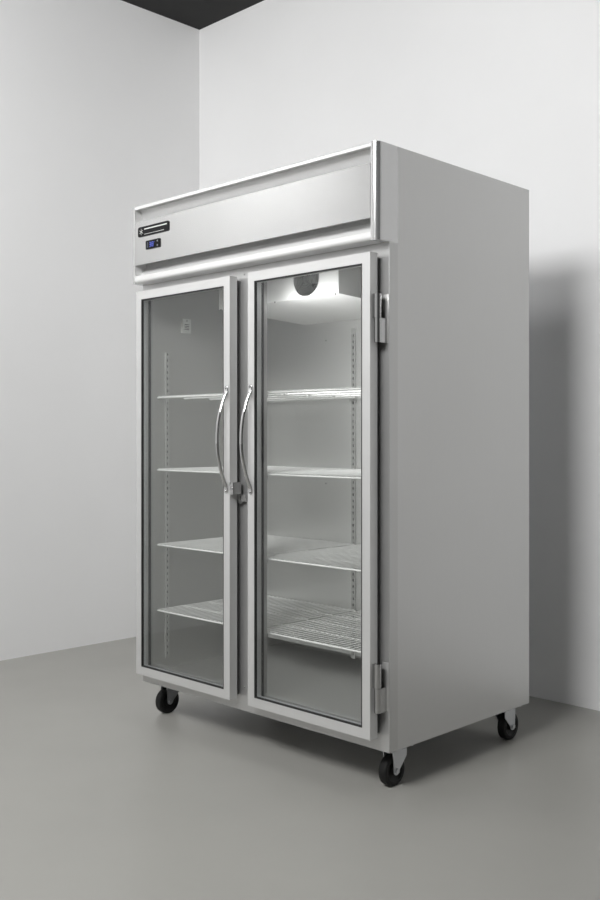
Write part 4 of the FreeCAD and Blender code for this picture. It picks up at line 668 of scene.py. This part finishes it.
def display():
    """Window, two figures, a degree mark and three status lamps on the display, and marks on its keys."""
    low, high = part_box("temperature_display")
    face = low.y
    centre = (low.z + high.z) / 2
    mesh = bmesh.new()
    window_half, window_thick = 13 * MM, 0.4 * MM
    add_box(mesh, (low.x + 20 * MM, face - window_thick, centre - window_half),
            (low.x + 64 * MM, face, centre + window_half), 0.2 * MM)
    piece("display_window", mesh, "header_door", "black_gloss", smooth=30)
    mesh = bmesh.new()
    for figure, across in (("3", 30 * MM), ("8", 46 * MM)):
        add_digit(mesh, figure, low.x + across, face - window_thick, centre, 9.5 * MM, 17 * MM)
    add_turned(mesh, [(0, 1.3 * MM), (0.3 * MM, 1.3 * MM), (0.3 * MM, 0)],
               (low.x + 57 * MM, face - 0.35 * MM, centre + 8 * MM), FORWARD, 16)
    piece("display_figures", mesh, "header_door", "digits")
    mesh = bmesh.new()
    for level in (-8, 0, 8):
        add_turned(mesh, [(0, 1.4 * MM), (0.35 * MM, 1.2 * MM), (0.5 * MM, 0)],
                   (low.x + 11 * MM, face, centre + level * MM), FORWARD, 16)
    piece("display_lamps", mesh, "header_door", "lamp", smooth=40)
    for number, up in ((1, 1), (2, -1)):
        key_low, key_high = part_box(f"display_key_{number}")
        spot = ((key_low.x + key_high.x) / 2, key_low.y, (key_low.z + key_high.z) / 2)
        mesh = bmesh.new()
        corners = [(-2 * MM, -1.1 * MM * up), (2 * MM, -1.1 * MM * up), (0, 1.5 * MM * up)]
        rings = [[mesh.verts.new((spot[0] + x, spot[1] - out, spot[2] + z)) for x, z in corners]
                 for out in (0.0, 0.15 * MM)]
        join_rings(mesh, rings)
        piece(f"display_key_mark_{number}", mesh, f"key_{number}", "lamp")


def name_plate_mark():
    """A plain snowflake and two bare rules on the name plate, in place of lettering."""
    low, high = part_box("name_plate")
    middle = (low.z + high.z) / 2
    face = low.y
    arm = (high.z - low.z) * 0.32
    mesh = bmesh.new()
    half, proud = 0.9 * MM, 0.2 * MM
    corners = [(-half, -arm), (half, -arm), (half, arm), (-half, arm)]
    for turn in range(3):
        add_prism(mesh, corners, (low.x + 1.7 * arm, face + proud, middle), FORWARD, 2 * proud,
                  math.pi / 3 * turn)
    start = low.x + 3.3 * arm
    for level, end_gap, rule_half in ((0.22, 12 * MM, 2.2 * MM), (-0.3, 30 * MM, 0.8 * MM)):
        z = middle + level * (high.z - low.z)
        add_box(mesh, (start, face - proud, z - rule_half), (high.x - end_gap, face + proud, z + rule_half))
    piece("name_plate_mark", mesh, "header_door", "probe_plastic")


def panel_catches():
    """Two catches under the access panel."""
    low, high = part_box("header_panel")
    mesh = bmesh.new()
    for x in (low.x + 0.2, high.x - 0.2):
        add_turned(mesh, [(0, 6 * MM), (1.2 * MM, 6 * MM), (1.8 * MM, 5.4 * MM), (1.8 * MM, 0)],
                   (x, low.y + 9 * MM, low.z), DOWN, 24)
    piece("header_panel_catches", mesh, "header_door", "steel_polished", smooth=40)


# Inside ------------------------------------------------------------------------------------------

def fan_guard(name, centre, axis, radius, rings, look="chrome"):
    """Wire guard in front of a fan: rings that bulge out on a cross of spokes."""
    mesh = bmesh.new()
    wire, bulge = 1.1 * MM, 5 * MM
    normal = Vector(axis)
    for ring in range(rings):
        share = 0.24 + 0.76 * ring / (rings - 1)
        middle = Vector(centre) + normal * bulge * (1 - share)
        add_wire(mesh, circle(middle, radius * share, axis), wire, 8, closed=True)
    for spoke in range(4):
        angle = math.pi / 4 + math.pi / 2 * spoke
        out = Vector((math.cos(angle), 0, math.sin(angle)))
        points = [Vector(centre) + out * radius * share + normal * (bulge * (1 - share) - 1.6 * MM)
                  for share in (0.2, 0.6, 1.06)]
        add_wire(mesh, points, wire * 1.2, 8)
    piece(name, mesh, "cabinet", look, smooth=60)


def evaporator_details():
    """Fan guards and screws on the evaporator housing's front."""
    low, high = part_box("evaporator_cover")
    front = low.y
    for side in SIDES:
        fan = middle_of(f"evaporator_fan_{side}")
        fan_guard(f"evaporator_guard_{side}", (fan.x, front - 2.4 * MM, fan.z), FORWARD, 62 * MM, 7)
    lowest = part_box("evaporator_fan_left")[0].z - 10 * MM
    spots = [
        (x, front, z)
        for x in (low.x + 14 * MM, 0.0, high.x - 14 * MM) for z in (lowest, high.z - 12 * MM)
    ]
    screws("evaporator_screws", "cabinet", spots, FORWARD, 3.4 * MM)


def solid_boxes(node):
    """Low and high corners of each separate solid in a node."""
    source = bmesh.new()
    source.from_mesh(node.data)
    bmesh.ops.remove_doubles(source, verts=source.verts, dist=0.01 * MM)
    boxes = []
    seen = set()
    for start in source.verts:
        if start.index in seen:
            continue
        group, todo = [], [start]
        seen.add(start.index)
        while todo:
            vertex = todo.pop()
            group.append(vertex.co.copy())
            for edge in vertex.link_edges:
                other = edge.other_vert(vertex)
                if other.index not in seen:
                    seen.add(other.index)
                    todo.append(other)
        boxes.append((
            Vector([min(point[axis] for point in group) for axis in range(3)]),
            Vector([max(point[axis] for point in group) for axis in range(3)]),
        ))
    source.free()
    return boxes


def bent_clips():
    """Bent steel shelf clips that hook into the standards, one for each packed block."""
    mesh = bmesh.new()
    for low, high in solid_boxes(NODES["shelf_clips"]):
        add_clip(mesh, low, high)
    clips = piece("shelf_clip_hooks", mesh, "cabinet", "hardware", smooth=30)
    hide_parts("shelf_clips")


def add_clip(mesh, low, high):
    """Adds one clip inside a block's box: a ledge under the shelf, a back, a lip at its end and a web."""
    sheet, corner = 1.6 * MM, 0.4 * MM
    middle = (low + high) / 2
    wide = high.x - low.x > high.y - low.y
    towards = -math.copysign(1, middle.x) if wide else math.copysign(1, middle.y)
    axis = 0 if wide else 1
    root = low[axis] if towards > 0 else high[axis]
    tip = high[axis] if towards > 0 else low[axis]

    def slab(start, end, bottom, top):
        lows, highs = list(low), list(high)
        lows[axis], highs[axis] = sorted((start, end))
        lows[2], highs[2] = bottom, top
        add_box(mesh, lows, highs, corner)

    slab(root, tip, high.z - sheet, high.z)
    slab(root, root + towards * sheet, low.z, high.z)
    slab(tip - towards * sheet, tip, high.z - 4 * MM, high.z)
    side = 1 - axis
    lows, highs = list(low), list(high)
    lows[side], highs[side] = middle[side] - sheet / 2, middle[side] + sheet / 2
    lows[2] = low.z + 3 * MM
    lows[axis], highs[axis] = sorted((root, root + towards * 10 * MM))
    add_box(mesh, lows, highs, corner)


def slot_shadows():
    """Painted shade: dark sheets at the backs of the slots in the shelf standards, where the slots are in
    shadow.
    """
    mesh = bmesh.new()
    half, sheet = 4 * MM, 0.4 * MM
    for low, high in solid_boxes(NODES["shelf_standards"]):
        middle = (low + high) / 2
        lows, highs = low.copy(), high.copy()
        across, deep = (0, 1) if high.x - low.x > high.y - low.y else (1, 0)
        lows[across], highs[across] = middle[across] - half, middle[across] + half
        if middle[deep] > 0:
            lows[deep] = high[deep] - sheet
        else:
            highs[deep] = low[deep] + sheet
        add_box(mesh, lows, highs)
    piece("standard_slot_shadows", mesh, "cabinet", "seal_rubber")


def probe_details():
    """Vent slots drawn as dark strips of painted shade, and a screw on the probe's cover."""
    low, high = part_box("temperature_probe")
    first, pitch, slot, margin = 14 * MM, 7 * MM, 2.4 * MM, 10 * MM
    # Painted shade: the vent slots are dark strips proud of the cover, not openings.
    mesh = bmesh.new()
    for step in range(4):
        z = low.z + first + step * pitch
        add_box(mesh, (high.x - 0.2 * MM, low.y + margin, z), (high.x + 0.3 * MM, high.y - margin, z + slot))
    piece("probe_vents_painted_shade", mesh, "cabinet", "seal_rubber")
    screws("probe_screw", "cabinet", [(high.x, (low.y + high.y) / 2, high.z - 8 * MM)], (1, 0, 0), 3 * MM)


def liner_details():
    """Screws of the duct panel and the drain in the liner's floor."""
    low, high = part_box("duct_panel")
    spots = [
        (x, low.y, z)
        for x in (low.x + 30 * MM, -0.2, 0.2, high.x - 30 * MM) for z in (low.z + 75 * MM, 0.95, 1.56)
    ]
    screws("duct_panel_screws", "cabinet", spots, FORWARD, 3.2 * MM)
    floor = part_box("interior_liner")[0].z + 1.2 * MM
    drain = [(0, 19 * MM), (1.2 * MM, 18 * MM), (1.2 * MM, 14 * MM), (0.2 * MM, 13 * MM), (0.2 * MM, 0)]
    mesh = bmesh.new()
    add_turned(mesh, drain, (0.25, low.y - 60 * MM, floor), UP, 40)
    piece("floor_drain", mesh, "cabinet", "chrome", smooth=40)


def mullion_screws():
    """Screws near the two ends of the mullion."""
    low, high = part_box("mullion")
    face = low.y
    spots = [(x, face, z) for x in (-30 * MM, 30 * MM) for z in (low.z + 9 * MM, high.z - 9 * MM)]
    screws("mullion_strip_screws", "cabinet", spots, FORWARD, 2.8 * MM)


# Machine compartment -----------------------------------------------------------------------------

def condenser_details():
    """Fins of the condenser coil, and the guard of its fan."""
    fan = middle_of("condenser_fan")
    low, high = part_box("condenser_coil")
    mesh = bmesh.new()
    pitch, fin_half, margin = 4 * MM, 0.25 * MM, 8 * MM
    count = int((high.x - low.x - 2 * margin) / pitch)
    for index in range(count + 1):
        x = low.x + margin + index * pitch
        add_box(mesh, (x - fin_half, low.y - 1.6 * MM, low.z + 6 * MM),
                (x + fin_half, low.y + 1 * MM, high.z - 34 * MM))
    piece("condenser_fins", mesh, "cabinet", "fins")
    fan_guard("condenser_fan_guard", (fan.x, fan.y + 26 * MM, fan.z), BACKWARD, 90 * MM, 8,
              look="seal_rubber")


def compressor_details():
    """Weld seam and mounting bolts of the compressor."""
    low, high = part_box("compressor")
    centre = Vector((170 * MM, (low.y + high.y) / 2, 0.0))
    radius = (high.y - low.y) / 2
    seam = low.z + 118 * MM
    mesh = bmesh.new()
    add_turned(mesh, [(-3 * MM, radius - 0.5 * MM), (-2 * MM, radius + 1.5 * MM), (2 * MM, radius + 1.5 * MM),
                      (3 * MM, radius - 0.5 * MM)], (centre.x, centre.y, seam), UP, 64)
    piece("compressor_weld", mesh, "cabinet", "motor_black", smooth=50)
    mesh = bmesh.new()
    for dx in (-86, 86):
        for dy in (-50, 50):
            spot = centre + Vector((dx * MM, dy * MM, low.z + 24 * MM))
            add_bolt(mesh, spot, UP, 10 * MM, 1.6 * MM, 8 * MM)
    piece("compressor_bolts", mesh, "cabinet", "zinc", smooth=30)


def shell_screws():
    """Screws along the edges of the back panel and the rear guard."""
    low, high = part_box("back_panel")
    spots = []
    seat = REAR - 1.7 * MM
    row_start, row_edge, column_edge = 20 * MM, 16 * MM, 14 * MM
    gaps = 6
    for step in range(gaps + 1):
        share = step / gaps
        x = low.x + row_start + share * (high.x - low.x - 2 * row_start)
        spots += [(x, seat, low.z + row_edge), (x, seat, high.z - row_edge)]
        z = low.z + row_edge + share * (high.z - low.z - 2 * row_edge)
        spots += [(low.x + column_edge, seat, z), (high.x - column_edge, seat, z)]
    guard_low, guard_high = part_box("rear_guard")
    for x in (guard_low.x + row_edge, -0.22, 0.22, guard_high.x - row_edge):
        spots += [(x, seat, guard_low.z + 12 * MM), (x, seat, guard_high.z - 8 * MM)]
    screws("back_screws", "cabinet", spots, BACKWARD, 3.6 * MM, "zinc")


# Casters -----------------------------------------------------------------------------------------

def caster_details(end, side):
    """Tyre, hub, nuts and plate bolts of one caster."""
    name = f"{end}_{side}"
    low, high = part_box(f"caster_wheel_{name}")
    centre = (low + high) / 2
    radius = (high.z - low.z) / 2
    half = 16 * MM
    shoulder = [(half - 6 * MM, radius - 0.3 * MM), (half - 2.6 * MM, radius - 1.2 * MM),
                (half - 0.8 * MM, radius - 3 * MM), (half, radius - 6 * MM), (half, radius - 15 * MM),
                (half - 2.5 * MM, radius - 16.5 * MM)]
    hub = [(half - 4 * MM, radius - 20 * MM), (half - 9 * MM, 24 * MM), (half - 9 * MM, 16 * MM),
           (half - 1 * MM, 13 * MM), (half + 0.8 * MM, 12 * MM), (half + 0.8 * MM, 5.2 * MM)]
    right = [(2 * MM, radius)] + shoulder + hub
    left = [(-along, ring) for along, ring in reversed(right)]
    mesh = bmesh.new()
    add_turned(mesh, left + right, centre, (1, 0, 0), 64)
    wheel = piece(f"caster_tyre_{name}", mesh, f"wheel_{name}", "wheel_rubber", smooth=40)
    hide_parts(f"caster_wheel_{name}")
    fork_low, fork_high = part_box(f"caster_fork_{name}")
    mesh = bmesh.new()
    for sign, face in ((-1, fork_low.x), (1, fork_high.x)):
        add_hex(mesh, (face - sign * 5 * MM, centre.y, centre.z), (sign, 0, 0), 16 * MM, 5.4 * MM)
    piece(f"caster_nuts_{name}", mesh, f"fork_{name}", "zinc", smooth=30)
    swivel_y = swivel_axis_y(end)
    mesh = bmesh.new()
    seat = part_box("caster_plates")[1].z - 4 * MM
    for dx in (-36, 36):
        for dy in (-40, 40):
            add_bolt(mesh, (centre.x + dx * MM, swivel_y + dy * MM, seat), DOWN, 9 * MM, 1.4 * MM, 5 * MM)
    piece(f"caster_plate_bolts_{name}", mesh, "cabinet", "zinc", smooth=30)


def swivel_axis_y(end):
    """Y of a caster's swivel axis, from its joint."""
    for joint in frame["joints"]:
        if joint["name"] == f"caster_swivel_{end}_left":
            return joint["pos_m"][1]
    raise ValueError(end)


# Stage -------------------------------------------------------------------------------------------

def stage_sheet(name, corners, colours, shadowless=False):
    """A flat stage surface from four corners, in one faintly mottled colour, seen from its front only."""
    mesh = bmesh.new()
    mesh.faces.new([mesh.verts.new(corner) for corner in corners])
    data = bpy.data.meshes.new(name)
    mesh.to_mesh(data)
    mesh.free()
    item = bpy.data.objects.new(name, data)
    bpy.context.scene.collection.objects.link(item)
    pale, dark, rough = colours
    recipe = Recipe(name)
    cloud = recipe.even_noise(0.8, detail=5.0)
    look = recipe.finish(
        Base_Color=recipe.blend(recipe.spread(cloud, 0.0, 1.0), pale, dark),
        Roughness=recipe.spread(cloud, rough, rough + 0.12),
    )
    surface = recipe.output.inputs["Surface"]
    behind = recipe.add("NewGeometry").outputs["Backfacing"]
    clear = recipe.add("BsdfTransparent").outputs[0]
    sides = recipe.add("MixShader", {0: behind, 1: surface.links[0].from_socket, 2: clear})
    recipe.put(surface, sides.outputs[0])
    item.data.materials.append(look)
    item.visible_shadow = not shadowless


def room():
    """Floor, two pale walls that meet behind the cabinet's left and a dark ceiling.

    Each sheet faces the room, and from behind it is clear, so the walls hide nothing from outside. The back
    wall casts no shadow, so light reaches the cabinet's back.
    """
    left, back, top, near, right = -1.96, 1.01, 3.62, -4.6, 6.0
    wall = ((0.88, 0.88, 0.88), (0.84, 0.84, 0.84), 0.6)
    reach = 14.0
    stage_sheet("floor", [(-reach, -reach, 0), (reach, -reach, 0), (reach, reach, 0), (-reach, reach, 0)],
                ((0.365, 0.36, 0.334), (0.334, 0.329, 0.308), 0.3))
    stage_sheet("back_wall", [(left, back, 0), (right, back, 0), (right, back, top), (left, back, top)],
                ((0.94, 0.94, 0.94), (0.9, 0.9, 0.9), 0.6), shadowless=True)
    stage_sheet("left_wall", [(left, near, 0), (left, back, 0), (left, back, top), (left, near, top)], wall)
    stage_sheet("ceiling", [(left, back, top), (right, back, top), (right, near, top), (left, near, top)],
                ((0.012, 0.012, 0.012), (0.01, 0.01, 0.01), 0.7))


def world():
    """Soft surroundings: brighter at the front left, darker at the front right and overhead."""
    scene = bpy.context.scene
    scene.world = bpy.data.worlds.new("studio")
    scene.world.use_nodes = True
    tree = scene.world.node_tree
    tree.nodes.clear()
    output = tree.nodes.new("ShaderNodeOutputWorld")
    where = tree.nodes.new("ShaderNodeTexCoord")

    def lobe(direction, start, end, low, high):
        facing = tree.nodes.new("ShaderNodeVectorMath")
        facing.operation = "DOT_PRODUCT"
        facing.inputs[1].default_value = Vector(direction).normalized()
        tree.links.new(where.outputs["Generated"], facing.inputs[0])
        level = tree.nodes.new("ShaderNodeMapRange")
        level.interpolation_type = "SMOOTHSTEP"
        for key, value in (("From Min", start), ("From Max", end), ("To Min", low), ("To Max", high)):
            level.inputs[key].default_value = value
        tree.links.new(facing.outputs["Value"], level.inputs["Value"])
        return level.outputs["Result"]

    def times(first, second):
        product = tree.nodes.new("ShaderNodeMath")
        product.operation = "MULTIPLY"
        tree.links.new(first, product.inputs[0])
        tree.links.new(second, product.inputs[1])
        return product.outputs[0]

    around = tree.nodes.new("ShaderNodeBackground")
    around.inputs["Color"].default_value = (1.0, 1.0, 0.99, 1.0)
    bright_front_left = lobe((-0.7, -0.7, -0.1), -0.6, 0.95, 0.2, 0.64)
    dark_front_right = lobe((0.88, -0.48, 0.1), 0.4, 0.97, 1.0, 0.3)
    dark_overhead = lobe(UP, 0.6, 0.85, 1.0, 0.25)
    strength = times(times(bright_front_left, dark_front_right), dark_overhead)
    tree.links.new(strength, around.inputs["Strength"])
    tree.links.new(around.outputs[0], output.inputs["Surface"])


def lamp(name, spot, target, size, power, hidden=False):
    """A square softbox aimed at a point and not seen itself; a hidden one is not mirrored either."""
    data = bpy.data.lights.new(name, "AREA")
    data.shape = "SQUARE"
    data.size = size
    data.energy = power
    item = bpy.data.objects.new(name, data)
    item.location = spot
    item.rotation_euler = (Vector(target) - Vector(spot)).to_track_quat("-Z", "Y").to_euler()
    item.visible_camera = False
    item.visible_glossy = not hidden
    bpy.context.scene.collection.objects.link(item)


def camera():
    """Level camera to the front right of the cabinet, at 1.16 m."""
    data = bpy.data.cameras.new("camera")
    data.sensor_width = 36.0
    data.lens = 39.18
    data.shift_y = -0.0163
    item = bpy.data.objects.new("camera", data)
    item.location = (2.6627, -2.7922, 1.1556)
    item.rotation_euler = (math.radians(90), 0, math.radians(44.7))
    bpy.context.scene.collection.objects.link(item)
    bpy.context.scene.camera = item


def studio():
    """Room, surroundings, lamps and camera."""
    room()
    world()
    lamp("ceiling_front", (0.8, -3.0, 3.5), (0.0, 0.5, 1.2), 1.6, 222)
    lamp("left_wall_wash", (-1.0, -2.5, 3.45), (-1.96, -2.4, 2.9), 0.7, 42)
    lamp("cabinet_light", (0.22, FRONT + 0.05, 1.52), (0.25, 0.41, 1.46), 0.3, 2.6, hidden=True)
    camera()
    bpy.context.scene.view_settings.view_transform = "Standard"


# The whole object --------------------------------------------------------------------------------

paint_frame()
for side_name, side_sign in SIDES.items():
    bow_handle(side_name)
    door_gasket(side_name)
    hinge_plates(side_name, side_sign)
    glazing_spacer(side_name)
    for end_name in ENDS:
        caster_details(end_name, side_name)
lock_details()
display()
name_plate_mark()
panel_catches()
evaporator_details()
bent_clips()
slot_shadows()
probe_details()
liner_details()
mullion_screws()
condenser_details()
compressor_details()
shell_screws()
studio()
